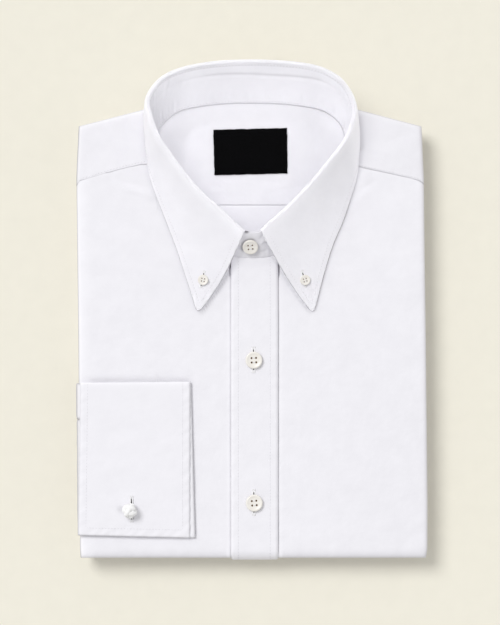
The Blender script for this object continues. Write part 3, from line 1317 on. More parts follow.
cuff = {
    "topY": (-48.7, -48.0), "endY": (-152.3, -154.1), "leftX": (-116.9, -118.2),
    "rightX": (-42.0, -42.2), "innerRightX": (-41.6, -38.7), "rest": 22.3, "stack": 2.5,
    "ply": 0.65, "wall": 0.45, "lift": 0.55, "stitchInset": 5.2, "link": (-83.0, -135.4),
    "slitX": -82.0, "slit": (0.9, -127.6, -141.4), "dent": (-89.4, -134.6),
}


def cuffLift(x):
    return cuff["lift"] * (1.0 - np.clip((x + 106.0) / 66.0, 0.0, 1.0))


# puckers across the cuff's margins, and soft bends over its middle, as for the fronts
cuffCreases = (
    (-47.5, -84.0, -42.0, -79.0, 1.0, -0.22), (-48.0, -90.5, -42.0, -85.0, 1.1, 0.20),
    (-47.0, -97.0, -42.0, -92.5, 0.9, -0.24), (-47.5, -104.0, -42.0, -99.5, 1.1, 0.20),
    (-47.5, -112.5, -42.0, -108.5, 1.0, -0.18), (-47.5, -122.0, -42.0, -119.0, 1.1, 0.15),
    (-117.0, -76.0, -111.5, -79.5, 1.0, -0.18), (-117.5, -98.0, -112.0, -101.5, 1.1, -0.16),
    (-117.5, -117.0, -112.0, -120.5, 1.0, 0.16), (-96.0, -152.0, -93.0, -146.5, 1.1, 0.22),
    (-88.0, -152.5, -84.5, -145.0, 1.2, -0.22), (-66.0, -153.0, -64.0, -147.0, 1.1, 0.16),
    (-104.0, -83.0, -72.0, -79.0, 3.6, -0.13), (-70.0, -96.0, -46.0, -88.0, 3.4, 0.12),
    (-108.0, -112.0, -84.0, -105.0, 4.0, 0.11), (-96.0, -128.0, -88.0, -139.0, 2.2, 0.20),
    (-79.0, -141.0, -68.0, -134.0, 2.2, -0.12),
)


def cuffSurface(inset, rightX, seed):
    # the section of a folded ply: along the underside, round the upper fold in a half circle
    # and down the top; it is carried across from the left edge to the right one
    radius = cuff["stack"] / 2.0 - inset
    length = 0.5 * (sum(cuff["topY"]) - sum(cuff["endY"]))
    start = cuff["stack"] / 2.0 / length
    near = (0.5 * sum(cuff["topY"]) - cuff["slit"][1]) / length
    far = (0.5 * sum(cuff["topY"]) - cuff["slit"][2]) / length
    turn = np.radians(np.linspace(-90.0, 90.0, 18))
    share = np.concatenate([np.linspace(1.0, start + 0.01, 20),
                            start - radius * np.cos(turn) / length,
                            np.linspace(start + 0.01, near, 52), np.linspace(near, far, 10)[1:],
                            np.linspace(far, 1.0, 12)[1:]])
    height = np.concatenate([np.full(20, inset), cuff["stack"] / 2.0 + radius * np.sin(turn),
                             np.full(52 + 9 + 11, cuff["stack"] - inset)])
    half = cuff["slit"][0] / 2.0
    across = np.concatenate([np.linspace(0.0, 1.0, 30)[:-1] ** 0.85, [1.0], [2.0, 2.4, 2.7, 3.0],
                             3.0 + np.linspace(0.0, 1.0, 32)[1:] ** 1.1])
    left = lerp(*cuff["leftX"], share)[:, None]
    right = lerp(*rightX, share)[:, None]
    middle = cuff["slitX"]
    x = np.where(across < 1.5, lerp(left, middle - half, np.clip(across, 0, 1)),
                 lerp(middle + half, right, np.clip(across - 3.0, 0, 1)))
    x = np.where((across > 1.9) & (across < 2.9), middle + half * (across - 2.35) / 0.7, x)
    part = (x - left) / (right - left)
    top = lerp(*cuff["topY"], part)
    end = lerp(*cuff["endY"], part)
    y = lerp(top, end, share[:, None])
    upper = smoothStep(cuff["stack"] * 0.3, cuff["stack"] * 0.8, height)[:, None]
    toLeft, toRight, toEnd = x - left, right - x, y - end
    inner = np.minimum(np.minimum(toLeft, toRight), toEnd)
    relief = 0.18 * softWaves(x, y, 38.0, seed) + 0.05 * softWaves(x, y, 14.0, seed + 2)
    relief = relief - 0.04 * bell(inner - cuff["stitchInset"], 0.6) + 1.4 * creased(
        x, y, cuffCreases)
    ripple = unevenWave(y - 0.8 * x, 7.0, seed)
    relief = relief + 0.42 * ripple * bell(inner - 2.4, 2.0)
    relief = relief - 0.3 * bell(inner, 0.6)
    relief = relief + 0.25 * bell(np.hypot(x - cuff["link"][0], y - cuff["link"][1]), 9.0)
    z = cuff["rest"] + cuffLift(x) + height[:, None] + relief * upper
    return np.stack([x, y, z], axis=-1)


def cuffPiece(name, inset, rightX, seed, finish):
    grid = cuffSurface(inset, rightX, seed)
    rows, columns = grid.shape[:2]
    quads = gridQuads(rows, columns).reshape(rows - 1, columns - 1, 4)
    keep = np.ones((rows - 1, columns - 1), bool)
    firstRow = 20 + 18 + 51
    keep[firstRow:firstRow + 9, 29:34] = False      # the buttonhole that the link's cord uses
    fromTop = grid[..., 1].max(axis=0, keepdims=True) - grid[..., 1]
    fromSide = np.minimum(grid[..., 0] - grid[:, :1, 0], grid[:, -1:, 0] - grid[..., 0])
    pressed = 0.15 + 0.24 * bell(fromTop - 1.0, 2.4) + 0.09 * bell(np.minimum(
        fromSide, grid[..., 1] - grid[-1:, :, 1]) - 1.6, 1.2)
    pressed = pressed - 0.32 * bell(grid[..., 0] - grid[:, :1, 0] - 0.2, 0.45)
    dent = np.hypot(grid[..., 0] - cuff["dent"][0], grid[..., 1] - cuff["dent"][1])
    pressed = pressed - 0.42 * bell(dent, 3.2)
    made = makeMesh(name, grid.reshape(-1, 3), quads[keep], finish,
                    gridLengths(grid).reshape(-1, 2), {"pressed": pressed.ravel()})
    middle = cuff["rest"] + cuff["stack"] / 2.0
    faceTowards(made, lambda m: np.stack([0 * m[:, 0], 0 * m[:, 0],
                                          m[:, 2] - cuffLift(m[:, 0]) - middle], axis=-1))
    addWall(made, cuff["wall"])
    return made, grid


cuffTurnback, cuffGrid = cuffPiece("cuffTurnback", 0.0, cuff["rightX"], 21, collarFinish)
cuffInner, cuffInnerGrid = cuffPiece("cuffInner", cuff["ply"], cuff["innerRightX"], 31,
                                     collarFinish)

sleeveSetup = {"endX": -106.0, "rise": 0.5, "sleeve": (1.6, (-152.8, -74.0)),
               "pleat": (1.9, (-73.7, -49.3))}


def sleeveWrap(name, lift, span, seed, finish):
    # a stretch of sleeve that comes round the side fold, as an oval a little larger than it,
    # and lies flat under the cuff
    radius = form["edgeRound"] + lift
    y = np.linspace(span[0], span[1], int((span[1] - span[0]) / 1.6) + 2)[:, None]
    turn = np.radians(np.linspace(0.0, 90.0 + 47.0, 22))[None]
    fold = sideX(0, y) + form["edgeRound"]
    soft = 0.35 * bell(np.minimum(y - span[0], span[1] - y), 1.1) + 0.12 * unevenWave(y, 15.0, seed)
    x = np.concatenate([sleeveSetup["endX"] + 0.0 * y, 0.5 * (sleeveSetup["endX"] + fold),
                        fold - (radius - soft) * np.sin(turn)], axis=1)
    rise = sleeveSetup["rise"] * lift
    z = np.concatenate([form["top"] + rise + 0.0 * y, form["top"] + rise + 0.0 * y,
                        form["top"] - form["edgeRound"]
                        + (form["edgeRound"] + rise - soft) * np.cos(turn)], axis=1)
    grid = np.stack([x, y + 0.0 * x, z], axis=-1)
    ends = np.minimum(y - span[0], span[1] - y)
    rim = np.minimum(x - (fold - radius), ends)
    made = makeMesh(name, grid.reshape(-1, 3), gridQuads(*x.shape), finish,
                    gridLengths(grid).reshape(-1, 2),
                    {"pressed": -0.6 * bell(rim - 0.4, 0.8).ravel()})
    faceTowards(made, upwards)
    addWall(made, form["wall"])
    return made


sleeve = sleeveWrap("sleeveEdge", *sleeveSetup["sleeve"], 4, cottonFinish)
sleevePleat = sleeveWrap("sleevePleat", *sleeveSetup["pleat"], 7, cottonFinish)
print("cuff and sleeve made")

# stitches

stitch = {"pitch": 2.15, "length": 2.0, "radius": 0.135, "dive": 0.10}


def alongLine(line, normals, pitch, length):
    # even places on a polyline, with the direction along it and the surface's direction there
    steps = np.linalg.norm(np.diff(line, axis=0), axis=1)
    run = np.concatenate([[0.0], np.cumsum(steps)])
    count = max(1, int((run[-1] - length) / pitch) + 1)
    at = (run[-1] - (count - 1) * pitch) / 2.0 + np.arange(count) * pitch

    def read(values, where):
        return np.stack([np.interp(where, run, values[:, k]) for k in range(3)], axis=-1)

    forward = unitRows(read(line, at + 0.4 * length) - read(line, at - 0.4 * length))
    up = unitRows(read(normals, at))
    side = unitRows(np.cross(up, forward))
    return read(line, at), forward, side, unitRows(np.cross(forward, side))


def stitchTemplate(length, radius, dive):
    # one stitch: a thread whose thickness swells in the middle and whose ends go down
    place = np.array([-1.0, -0.86, -0.55, 0.0, 0.55, 0.86, 1.0])
    size = np.array([0.7, 0.9, 1.0, 1.0, 1.0, 0.9, 0.7]) * radius
    depth = -dive * np.abs(place) ** 3 + 0.25 * radius
    turn = np.linspace(0.0, 2 * math.pi, 6, endpoint=False)
    x = place[:, None] * length / 2.0 + 0.0 * turn
    y = size[:, None] * np.cos(turn)
    z = depth[:, None] + size[:, None] * np.sin(turn)
    points = np.stack([x, y, z], axis=-1).reshape(-1, 3)
    faces = []
    for i in range(len(place) - 1):
        for k in range(6):
            n = (k + 1) % 6
            faces.append([6 * i + k, 6 * i + n, 6 * (i + 1) + n, 6 * (i + 1) + k])
    faces.append(list(range(5, -1, -1)))
    faces.append([6 * (len(place) - 1) + k for k in range(6)])
    shade = np.repeat(smoothStep(0.58, 0.88, np.abs(place)), 6)
    return points, faces, shade


def sewRows(name, rows, pitch=None, length=None):
    # all stitches of several rows as one piece, each a copy of the template laid on its place
    pitch, length = pitch or stitch["pitch"], length or stitch["length"]
    template, faces, shade = stitchTemplate(length, stitch["radius"], stitch["dive"])
    allPoints, allFaces, shades, cloths = [], [], [], []
    first = 0
    for line, normals in rows:
        at, forward, side, up = alongLine(line, normals, pitch, length)
        placed = (at[:, None] + template[None, :, 0:1] * forward[:, None]
                  + template[None, :, 1:2] * side[:, None] + template[None, :, 2:3] * up[:, None])
        allPoints.append(placed.reshape(-1, 3))
        for k in range(len(at)):
            base = first + k * len(template)
            allFaces += [[base + i for i in face] for face in faces]
        first += len(at) * len(template)
        shades.append(np.tile(shade, len(at)))
        cloths.append(np.tile(template[:, :2], (len(at), 1)))
    made = makeMesh(name, np.vstack(allPoints), allFaces, threadFinish, np.vstack(cloths),
                    {"dive": np.concatenate(shades)})
    settle(made, ())
    return made


def onHeights(height, x, y):
    # points and normals of a surface given as a height over x and y
    step = 0.3
    z = height(x, y)
    slopeX = (height(x + step, y) - height(x - step, y)) / (2 * step)
    slopeY = (height(x, y + step) - height(x, y - step)) / (2 * step)
    normal = unitRows(np.stack([-slopeX, -slopeY, np.ones_like(slopeX)], axis=-1))
    return np.stack([x, y, z], axis=-1), normal


def onGrid(grid, normals, u, v):
    # reads a grid at fractional places, straight between its points
    i = np.clip(np.floor(u).astype(int), 0, grid.shape[0] - 2)
    j = np.clip(np.floor(v).astype(int), 0, grid.shape[1] - 2)
    f, g = (u - i)[:, None], (v - j)[:, None]

    def read(a):
        return lerp(lerp(a[i, j], a[i + 1, j], f), lerp(a[i, j + 1], a[i + 1, j + 1], f), g)

    return read(grid), unitRows(read(normals))


def yokeStitches():
    rows = []
    for low, high in ((-117.5, -66.0), (64.5, 114.5)):
        x = np.linspace(low, high, 60)
        rows.append(onHeights(frontHeight, x, yokeSeamY(x) + 1.3))
    return rows


sewnYoke = sewRows("stitchesYoke", yokeStitches())


def bandStitches():
    normals = gridNormals(bandSurface)
    normals = normals * np.sign(normals[:, :100, 2].mean())
    rows = []
    across = bandSurface[:, 60, 0]
    for line in band["stitches"]:
        v = np.linspace(0.0, 160.0, 300)
        u = np.full(len(v), np.interp(line, across, np.arange(len(across))))
        rows.append(onGrid(bandSurface, normals, u, v))
    return rows


sewnBand = sewRows("stitchesBand", bandStitches())


def leafStitches():
    # lines at the stitch inset from the outer edge, and from each front edge, up to where
    # the two meet near the point
    count, columns = leafPoints.shape[:2]
    inset = collar["stitchInset"]
    back = distanceBack(leafPoints)
    front = distanceAlong(leafPoints)
    rear = distanceAlong(leafPoints[::-1])[::-1]
    u = np.arange(count)
    v = np.array([np.interp(-inset, -back[k], np.arange(columns)) for k in u])
    fromFront = np.array([min(front[k, int(v[k])], rear[k, int(v[k])]) for k in u])
    keep = fromFront >= inset
    rows = [onGrid(leafPoints, leafNormals, u[keep].astype(float), v[keep])]
    low = 16
    for run, mirrored in ((front, False), (rear, True)):
        cols = np.arange(low, columns)
        place = np.array([np.interp(inset, run[::-1, c] if mirrored else run[:, c],
                                    np.arange(count)) for c in cols])
        place = count - 1 - place if mirrored else place
        reach = back[np.clip(place.astype(int), 0, count - 1), cols]
        good = reach >= inset
        rows.append(onGrid(leafPoints, leafNormals, place[good], cols[good].astype(float)))
    return rows


sewnLeaf = sewRows("stitchesLeaf", leafStitches())


def standStitches():
    # one row under the roll all round, one along the neck seam, and one on the front end
    lengths = gridLengths(standPoints)[0, :, 0]
    columns = np.arange(standPoints.shape[1])
    count = standPoints.shape[0]
    rows = []
    for depth in (0.7, lengths[-1] - 1.4):
        v = np.full(count - 60, np.interp(depth, lengths, columns))
        rows.append(onGrid(standPoints, standNormals, np.arange(40.0, count - 20.0), v))
    return rows


sewnStand = sewRows("stitchesStand", standStitches())


def cuffStitches(grid, leftToo):
    # down both sides and along the lower edge of the top ply, at the stitch inset
    normals = gridNormals(grid)
    normals = normals * np.sign(normals[60:100, :, 2].mean())
    rows, columns = grid.shape[:2]
    first = 33
    inset = cuff["stitchInset"]
    lines = []
    v = np.arange(first, rows, 0.5)
    down = grid[np.clip(v.astype(int), 0, rows - 1), :, 0]
    stop = np.interp(-(grid[-1, 10, 1] + inset), -grid[first:, 10, 1], np.arange(first, rows))
    v = v[v <= stop]
    for side in ((0, 1) if leftToo else (1,)):
        place = []
        for k, row in enumerate(v):
            x = down[k]
            target = x[0] + inset if side == 0 else x[-1] - inset
            place.append(np.interp(target, x, np.arange(columns)))
        lines.append(onGrid(grid, normals, v, np.array(place)))
    if leftToo:
        ends = [np.interp(t, grid[-1, :, 0], np.arange(columns))
                for t in (grid[-1, 0, 0] + inset, grid[-1, -1, 0] - inset)]
        across = np.linspace(ends[0], ends[1], 80)
        lines.append(onGrid(grid, normals, np.full(80, stop), across))
    return lines


sewnCuff = sewRows("stitchesCuff", cuffStitches(cuffGrid, True))


print("stitches made")

# buttons and buttonholes

buttonSetup = {
    "depth": 0.2, "sides": 48, "holeRadius": 0.125, "holeOffset": 0.262, "holeSides": 16,
    # radius and height of the turned profile, as shares of the button's radius and depth
    "profile": ((0.80, 0.0), (0.95, 0.10), (1.0, 0.32), (1.0, 0.68), (0.985, 0.85), (0.95, 0.96),
                (0.89, 1.0), (0.82, 1.0), (0.76, 0.96), (0.69, 0.90), (0.60, 0.85), (0.30, 0.82)),
}


def turnedDisc(radius, depth):
    # the profile turned about the button's axis, closed by a point at each end
    turn = np.linspace(0.0, 2 * math.pi, buttonSetup["sides"], endpoint=False)
    profile = np.array(buttonSetup["profile"]) * (radius, depth)
    ring = np.stack([profile[:, None, 0] * np.cos(turn), profile[:, None, 0] * np.sin(turn),
                     profile[:, None, 1] + 0.0 * turn], axis=-1)
    rows, sides = ring.shape[:2]
    here = np.arange(rows - 1)[:, None] * sides + np.arange(sides)
    there = np.arange(rows - 1)[:, None] * sides + (np.arange(sides) + 1) % sides
    quads = np.stack([here, there, there + sides, here + sides], axis=-1).reshape(-1, 4)
    points = np.vstack([ring.reshape(-1, 3), [[0, 0, 0.0], [0, 0, profile[-1, 1]]]])
    low = [[rows * sides, (k + 1) % sides, k] for k in range(sides)]
    top = [[rows * sides + 1, (rows - 1) * sides + k, (rows - 1) * sides + (k + 1) % sides]
           for k in range(sides)]
    return points, quads.tolist() + low + top


def holePosts(radius, depth):
    turn = np.linspace(0.0, 2 * math.pi, buttonSetup["holeSides"], endpoint=False)
    points, faces = [], []
    sides = buttonSetup["holeSides"]
    for sx in (-1, 1):
        for sy in (-1, 1):
            first = len(points)
            for z in (-depth, 2 * depth):
                for a in turn:
                    points.append((radius * (sx * buttonSetup["holeOffset"]
                                             + buttonSetup["holeRadius"] * math.cos(a)),
                                   radius * (sy * buttonSetup["holeOffset"]
                                             + buttonSetup["holeRadius"] * math.sin(a)), z))
            low = [first + k for k in range(sides)]
            high = [first + sides + k for k in range(sides)]
            faces += [low[::-1], high]
            faces += [[low[k], low[(k + 1) % sides], high[(k + 1) % sides], high[k]]
                      for k in range(sides)]
    return points, faces


def placement(place, up, spin=0.0):
    turn = Vector((0.0, 0.0, 1.0)).rotation_difference(Vector(up)).to_matrix().to_4x4()
    return Matrix.Translation(Vector(place) * mm) @ turn @ Matrix.Rotation(spin, 4, "Z")


def shirtButton(name, node, width, place, up, spin):
    # a turned disc less four holes, laid on its place
    radius, depth = width / 2.0, width * buttonSetup["depth"]
    points, faces = turnedDisc(radius, depth)
    disc = makeMesh(name, points, faces, shellFinish, np.array(points)[:, :2])
    posts = makeMesh(name + "Posts", *holePosts(radius, depth), slitFinish)
    cut = disc.modifiers.new("holes", "BOOLEAN")
    cut.operation = "DIFFERENCE"
    cut.object = posts
    view = bpy.context.evaluated_depsgraph_get()
    mesh = bpy.data.meshes.new_from_object(disc.evaluated_get(view))
    disc.modifiers.clear()
    disc.data = mesh
    bpy.data.objects.remove(posts)
    where = placement(place, up, spin)
    mesh.transform(where)
    mesh.materials.clear()
    mesh.materials.append(shellFinish)
    mesh.shade_smooth()
    mesh.set_sharp_from_angle(angle=math.radians(38))
    settle(disc, (node,))
    threads(name + "Thread", radius, depth, where)
    holeFloors(name + "Holes", radius, depth, where)
    return disc


def holeFloors(name, radius, depth, where):
    # the brown shade at the bottom of each hole, a small disc inside it
    turn = np.linspace(0.0, 2 * math.pi, 12, endpoint=False)
    reach, size = radius * buttonSetup["holeOffset"], radius * buttonSetup["holeRadius"] * 1.1
    points, faces = [], []
    for sx in (-1, 1):
        for sy in (-1, 1):
            first = len(points)
            points += [(sx * reach + size * math.cos(a), sy * reach + size * math.sin(a),
                        depth * 0.45) for a in turn]
            faces.append(list(range(first, first + 12)))
    made = makeMesh(name, points, faces, holeFinish, np.array(points)[:, :2])
    made.data.transform(where)
    settle(made, ())


def threads(name, radius, depth, where):
    # two pairs of thread side by side, each an arched bar from hole to hole that goes down
    # the near wall of its hole
    reach = radius * buttonSetup["holeOffset"]
    inner = reach - 0.75 * radius * buttonSetup["holeRadius"]
    bars = []
    for row in (-1.0, 1.0):
        for off in (-0.03, 0.03):
            x = np.linspace(-1.0, 1.0, 14)
            arch = depth * (0.80 + 0.08 * (1.0 - x ** 4)) - depth * 0.4 * (np.abs(x) > 0.98)
            line = np.stack([x * inner, row * reach + off * radius + 0.0 * x, arch], axis=-1)
            bars.append(line)
    made = tubes(name, bars, 0.024 * radius, tackFinish)
    made.data.transform(where)
    settle(made, ())


def tubes(name, lines, radius, finish, sides=8, values=None):
    # a round tube along each polyline: circles square to its direction, ends closed
    points, faces, cloth = [], [], []
    first = 0
    turn = np.linspace(0.0, 2 * math.pi, sides, endpoint=False)
    for line in lines:
        line = np.asarray(line, float)
        forward = unitRows(np.gradient(line, axis=0))
        guide = np.array([0.0, 0.0, 1.0]) if abs(forward[0, 2]) < 0.9 else np.array([1.0, 0, 0])
        side = unitRows(np.cross(forward, guide))
        up = np.cross(side, forward)
        ring = line[:, None] + radius * (np.cos(turn)[None, :, None] * side[:, None]
                                         + np.sin(turn)[None, :, None] * up[:, None])
        count = len(line)
        points.append(ring.reshape(-1, 3))
        run = np.concatenate([[0.0], np.cumsum(np.linalg.norm(np.diff(line, axis=0), axis=1))])
        cloth.append(np.stack([run[:, None] + 0.0 * turn, radius * turn + 0.0 * run[:, None]],
                              axis=-1).reshape(-1, 2))
        for i in range(count - 1):
            for k in range(sides):
                a, b = first + i * sides, first + (i + 1) * sides
                n = (k + 1) % sides
                faces.append([a + k, a + n, b + n, b + k])
        faces.append([first + k for k in range(sides - 1, -1, -1)])
        faces.append([first + (count - 1) * sides + k for k in range(sides)])
        first += count * sides
    made = makeMesh(name, np.vstack(points), faces, finish, np.vstack(cloth), values)
    return made


def stadium(length, width, count):
    # points round a slot with half-round ends, and the directions out of it
    turn = np.linspace(0.0, 2 * math.pi, count, endpoint=False)
    half = (length - width) / 2.0
    outX, outY = np.cos(turn), np.sin(turn)
    y = half * np.sign(outY) * np.minimum(1.0, np.abs(outY) * 6.0) + outY * width / 2.0
    return np.stack([outX * width / 2.0, y], axis=-1), np.stack([outX, outY], axis=-1)


def buttonhole(name, length, width, place, up, along, slitEnds=None, slitWidth=0.85):
    # a ring of close stitches round a slit: a low half-round rim with fine ridges, a bar
    # tack at each end, and the dark slit inside it
    up = Vector(up).normalized()
    ahead = (Vector(along) - Vector(along).dot(up) * up).normalized()
    side = ahead.cross(up)
    base = Matrix((side, ahead, up)).transposed().to_4x4()
    where = Matrix.Translation(Vector(place) * mm) @ base
    line, outward = stadium(length - width, 0.5, 220)
    across = np.linspace(0.0, math.pi, 7)
    rim = width / 2.0 - 0.25
    ridges = 1.0 + 0.16 * np.sign(np.sin(np.arange(220) * 2 * math.pi / 4.0))
    swing = rim / 2.0 * (1.0 - np.cos(across))
    middle = line[:, None] + outward[:, None] * swing[None, :, None]
    height = 0.26 * np.sin(across)[None] * ridges[:, None] - 0.06
    grid = np.concatenate([middle, height[..., None]], axis=-1)
    index = np.arange(220 * 7).reshape(220, 7)
    nextRow = np.roll(index, -1, axis=0)
    quads = np.stack([index[:, :-1], nextRow[:, :-1], nextRow[:, 1:], index[:, 1:]], axis=-1)
    rimPoints = grid.reshape(-1, 3)
    made = makeMesh(name, rimPoints, quads.reshape(-1, 4), tackFinish, rimPoints[:, :2])
    made.data.transform(where)
    faceTowards(made, lambda m: np.array([up]))
    settle(made, ())
    slot, _ = stadium(length - width, slitWidth, 60)
    if slitEnds:
        slot[:, 1] = np.clip(slot[:, 1], *slitEnds)
    slitPoints = np.vstack([np.column_stack([slot, np.full(60, 0.05)]),
                            np.column_stack([slot * 0.6, np.full(60, 0.10)])])
    ring = np.arange(60)
    quads = np.stack([ring, (ring + 1) % 60, 60 + (ring + 1) % 60, 60 + ring], axis=-1).tolist()
    slit = makeMesh(name + "Slit", slitPoints, quads + [list(range(60, 120))], slitFinish,
                    slitPoints[:, :2])
    slit.data.transform(where)
    faceTowards(slit, lambda m: np.array([up]))
    settle(slit, ())
    tacks = []
    for end in (-1.0, 1.0):
        for k in range(4):
            y = end * (length / 2.0 - 0.25 - 0.28 * k)
            x = np.linspace(-width / 2.0, width / 2.0, 6)
            tacks.append(np.stack([x, y + 0.0 * x, 0.06 + 0.1 * (1 - (2 * x / width) ** 2)],
                                  axis=-1))
    bars = tubes(name + "Tacks", tacks, 0.14, tackFinish, 6)
    bars.data.transform(where)
    settle(bars, ())


chestButtons = {"width": 11.5, "places": ((1.15, -33.4), (1.4, -130.4)), "hole": (18.4, 2.5)}
for number, (x, y) in enumerate(chestButtons["places"]):
    level = form["top"] + band["lift"]
    buttonhole(f"bandButtonhole{number + 1}", *chestButtons["hole"], (x - 0.25, y + 0.3, level),
               (0, 0, 1), (0, 1, 0), (-6.9, 7.0))
    shirtButton(f"chestButton{number + 1}", f"button_chest_{number + 1}", chestButtons["width"],
                (x, y, level + form["seamGap"]), (0, 0, 1), 0.04 + 0.05 * number)

collarButtons = {
    "width": 7.1, "hole": (12.2, 2.0), "lift": 0.4,
    "places": (("Right", 0, -33.2, 21.2, (0.23, 1.0, 0.0)),
               ("Left", 1, 35.8, 21.1, (-0.27, 1.0, 0.0))),
}


def leafPlace(x, y):
    # the leaf's point nearest to a place seen from above, and the way it looks
    miss = np.hypot(leafPoints[..., 0] - x, leafPoints[..., 1] - y)
    miss = np.where(leafNormals[..., 2] > 0.3, miss, 1e9)
    i, j = np.unravel_index(np.argmin(miss), miss.shape)
    near = leafNormals[i - 3:i + 4, j - 3:j + 4].reshape(-1, 3).mean(axis=0)
    return leafPoints[i, j], near / np.linalg.norm(near)


for word, side, x, y, along in collarButtons["places"]:
    point, up = leafPlace(x, y)
    point = np.array([x, y, point[2]])
    holePoint, holeUp = leafPlace(x + 0.6 * along[0], y + 0.6)
    buttonhole("collarButtonhole" + word, *collarButtons["hole"], holePoint + 0.12 * holeUp,
               holeUp, along, (-5.3, 4.2), 1.35)
    shirtButton("collarButton" + word, "button_collar_" + word.lower(), collarButtons["width"],
                point + up * collarButtons["lift"], up, 0.3 if side else -0.2)



def neckBandPlace(x, y, lift):
    top, base = np.array(collar["frontTop"]), np.array(collar["frontBase"])
    up = unitRows(np.cross(np.array([1.0, 0.0, 0.0]), top - base))
    up = up if up[2] > 0.0 else -up
    point = lerp(base, top, (y - base[1]) / (top[1] - base[1])) + up * (collar["wall"] + lift)
    point[:2] = (x, y)
    return point, up


holePlace, neckUp = neckBandPlace(0.3, neckButton["place"][1] + 2.6, 0.0)
buttonhole("neckButtonhole", *neckButton["hole"], holePlace, neckUp, (1.0, 0.17, 0.0),
           (-7.4, 2.0), 0.7)
buttonPlace, neckUp = neckBandPlace(*neckButton["place"], neckButton["lift"])
shirtButton("neckButton", "button_neckband", neckButton["width"], buttonPlace, neckUp, 0.1)
print("buttons made")

# cuff link

link = {"radius": 3.3, "cord": 1.75, "leads": 3, "bights": 4, "reach": 58.0, "weave": 0.4,
        "neck": 0.8, "sunk": 1.1}


def knotLines(centre):
    # a woven ball: the cord winds round the ball's axis while its latitude swings as a sine,
    # and it lifts and dips by turns where it crosses itself
    t = np.linspace(0.0, 2 * math.pi, 420)
    lat = np.radians(link["reach"]) * np.sin(link["bights"] * t)
    lon = link["leads"] * t + 0.55
    r = link["radius"] + link["weave"] * np.sin(2 * link["bights"] * t)
    ball = np.stack([r * np.sin(lat), r * np.cos(lat) * np.cos(lon),
                     r * np.cos(lat) * np.sin(lon)], axis=-1)
    lean = np.radians(24.0)
    ball[:, :2] = ball[:, :2] @ np.array([[math.cos(lean), math.sin(lean)],
                                          [-math.sin(lean), math.cos(lean)]])
    return [centre + ball]


def cuffLink():
    x, y = cuff["link"]
    rest = cuff["rest"] + cuffLift(x) + cuff["stack"] + form["seamGap"]
    centre = np.array([x, y, rest + link["radius"] + link["cord"] - link["sunk"]])
    cords = tubes("cuffLinkKnot", knotLines(centre), link["cord"], silkFinish, 14)
    settle(cords, ("cufflink_knot",))
    turn = np.linspace(0.0, 2 * math.pi, 24, endpoint=False)
    down = np.linspace(0.0, math.pi, 14)[1:-1]
    inner = link["radius"] + 0.6
    ball = np.stack([inner * np.sin(down)[:, None] * np.cos(turn),
                     inner * np.sin(down)[:, None] * np.sin(turn),
                     inner * np.cos(down)[:, None] + 0.0 * turn], axis=-1) + centre
    rows = len(down)
    points = np.vstack([ball.reshape(-1, 3), [centre + (0, 0, inner), centre - (0, 0, inner)]])
    faces = []
    for k in range(24):
        n = (k + 1) % 24
        faces.append([rows * 24, k, n])
        faces.append([rows * 24 + 1, (rows - 1) * 24 + n, (rows - 1) * 24 + k])
        faces += [[24 * i + k, 24 * (i + 1) + k, 24 * (i + 1) + n, 24 * i + n]
                  for i in range(rows - 1)]
    filling = makeMesh("cuffLinkCore", points, faces, silkFinish, points[:, :2] * 0.5)
    settle(filling, ())
    cord = np.stack([np.full(8, x), np.full(8, y), np.linspace(rest + 2.0, cuff["rest"] + 3.3, 8)],
                    axis=-1)
    stem = tubes("cuffLinkCord", [cord], link["neck"], silkFinish, 12)
    settle(stem, ())


cuffLink()
slitMiddle = 0.5 * (cuff["slit"][1] + cuff["slit"][2])
slitHalf = 0.5 * (cuff["slit"][1] - cuff["slit"][2])
buttonhole("cuffButtonhole", 2 * slitHalf + 4.6, 2.3,
           (cuff["slitX"], slitMiddle,
            cuff["rest"] + cuffLift(cuff["slitX"]) + cuff["stack"] + 0.12),
           (0, 0, 1), (0, 1, 0), (-slitHalf, slitHalf), 1.3)
print("cuff link made")

# riding and cut sizes: each sheet's width, length and area are of the cloth that shows

settle(foldedLayers, ("folded_layers",))
settle(frontRight, ("front_right",))
settle(frontLeft, ("front_left",))
settle(frontBand, ("placket",))
settle(yokeOuter, ("yoke_outer",))
settle(yokeInner, ("yoke_inner",))
settle(backInside, ("back_inside",))
settle(neckLabel, ("neck_label",))
settle(collarStand, ("collar_stand",))
settle(standUnderEnd, ())
settle(standUpperEnd, ())
settle(collarLeaf, ("collar_leaf",))
settle(cuffTurnback, ("cuff_turnback",))
settle(cuffInner, ("cuff_inner",))
settle(sleeve, ("sleeve",))
settle(sleevePleat, ("sleeve_pleat",))

# floor and light

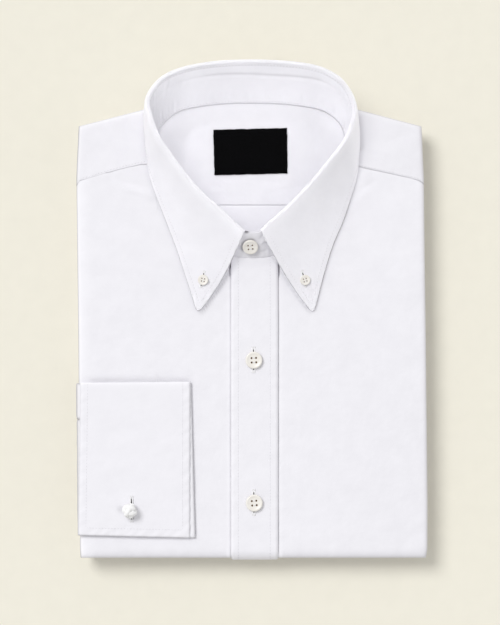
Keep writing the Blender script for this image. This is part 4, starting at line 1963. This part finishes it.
studio = {
    "floor": (0.800, 0.772, 0.676), "key": 1.74, "keyAngle": 27.0, "pastCollar": 0.62,
    "keyFrom": (-0.425, 0.42, 0.80), "sky": 0.652, "cardAngle": 40.0,
    "standCard": (1.0, (-0.12, -0.8, 0.5)), "insideCard": (0.36, (0.9, -0.1, 0.5)),
    "rightCard": (0.72, (0.98, 0.1, -0.05)), "leftCard": (0.24, (-0.95, 0.1, 0.25)),
}
floorMaterial, floorTree, floorShader = newMaterial("paperFloor")
floorPlace = floorTree.nodes.new("ShaderNodeTexCoord")
floorMottle = addGroup(floorTree, softMottle, Place=floorPlace.outputs["Object"], Size=90.0)
floorTree.links.new(
    mixTone(floorTree, floorMottle.outputs["Crumple"],
            tuple(0.975 * c for c in studio["floor"]), tuple(1.025 * c for c in studio["floor"])),
    floorShader.inputs["Base Color"])
floorShader.inputs["Roughness"].default_value = 0.9
floorShader.inputs["Specular IOR Level"].default_value = 0.1
floorSize = 3000.0
floor = makeMesh("floor", [(-floorSize, -floorSize, 0), (floorSize, -floorSize, 0),
                           (floorSize, floorSize, 0), (-floorSize, floorSize, 0)],
                 [[0, 1, 2, 3]], floorMaterial)


def addSun(name, strength, angle, comesFrom):
    data = bpy.data.lights.new(name, "SUN")
    data.energy = strength
    data.angle = math.radians(angle)
    made = bpy.data.objects.new(name, data)
    made.rotation_mode = "QUATERNION"
    made.rotation_quaternion = Vector(comesFrom).to_track_quat("Z", "Y")
    bpy.context.scene.collection.objects.link(made)
    return made


def gathered(name, pieces):
    group = bpy.data.collections.new(name)
    for piece in pieces:
        group.objects.link(piece)
    return group


# a broad key from the upper left, in two shares: the larger one passes over the collar, so that
# the collar's own shadow stays soft; then pale cards that throw light back onto the collar
shirtPieces = [piece for piece in bpy.context.scene.objects if piece.type == "MESH"
               and not piece.hide_render]
collarPieces = (collarLeaf, collarStand, standUnderEnd, standUpperEnd)
addSun("keyLight", studio["key"] * (1.0 - studio["pastCollar"]), studio["keyAngle"],
       studio["keyFrom"])
softKey = addSun("softKeyLight", studio["key"] * studio["pastCollar"], studio["keyAngle"],
                 studio["keyFrom"])
softKey.light_linking.blocker_collection = gathered(
    "castsShadow", [piece for piece in shirtPieces if piece not in collarPieces])
cards = (("standCard", (collarStand,)), ("insideCard", (yokeInner, backInside)),
         ("rightCard", (collarLeaf,)), ("leftCard", (collarLeaf,)))
for name, pieces in cards:
    strength, comesFrom = studio[name]
    card = addSun(name, strength, studio["cardAngle"], comesFrom)
    card.data.use_shadow = False
    card.light_linking.receiver_collection = gathered(name + "Falls", pieces)
world = bpy.data.worlds.new("studio")
world.use_nodes = True
world.node_tree.nodes["Background"].inputs["Color"].default_value = (1.0, 1.0, 1.0, 1.0)
world.node_tree.nodes["Background"].inputs["Strength"].default_value = studio["sky"]
bpy.context.scene.world = world
print("floor and light made")
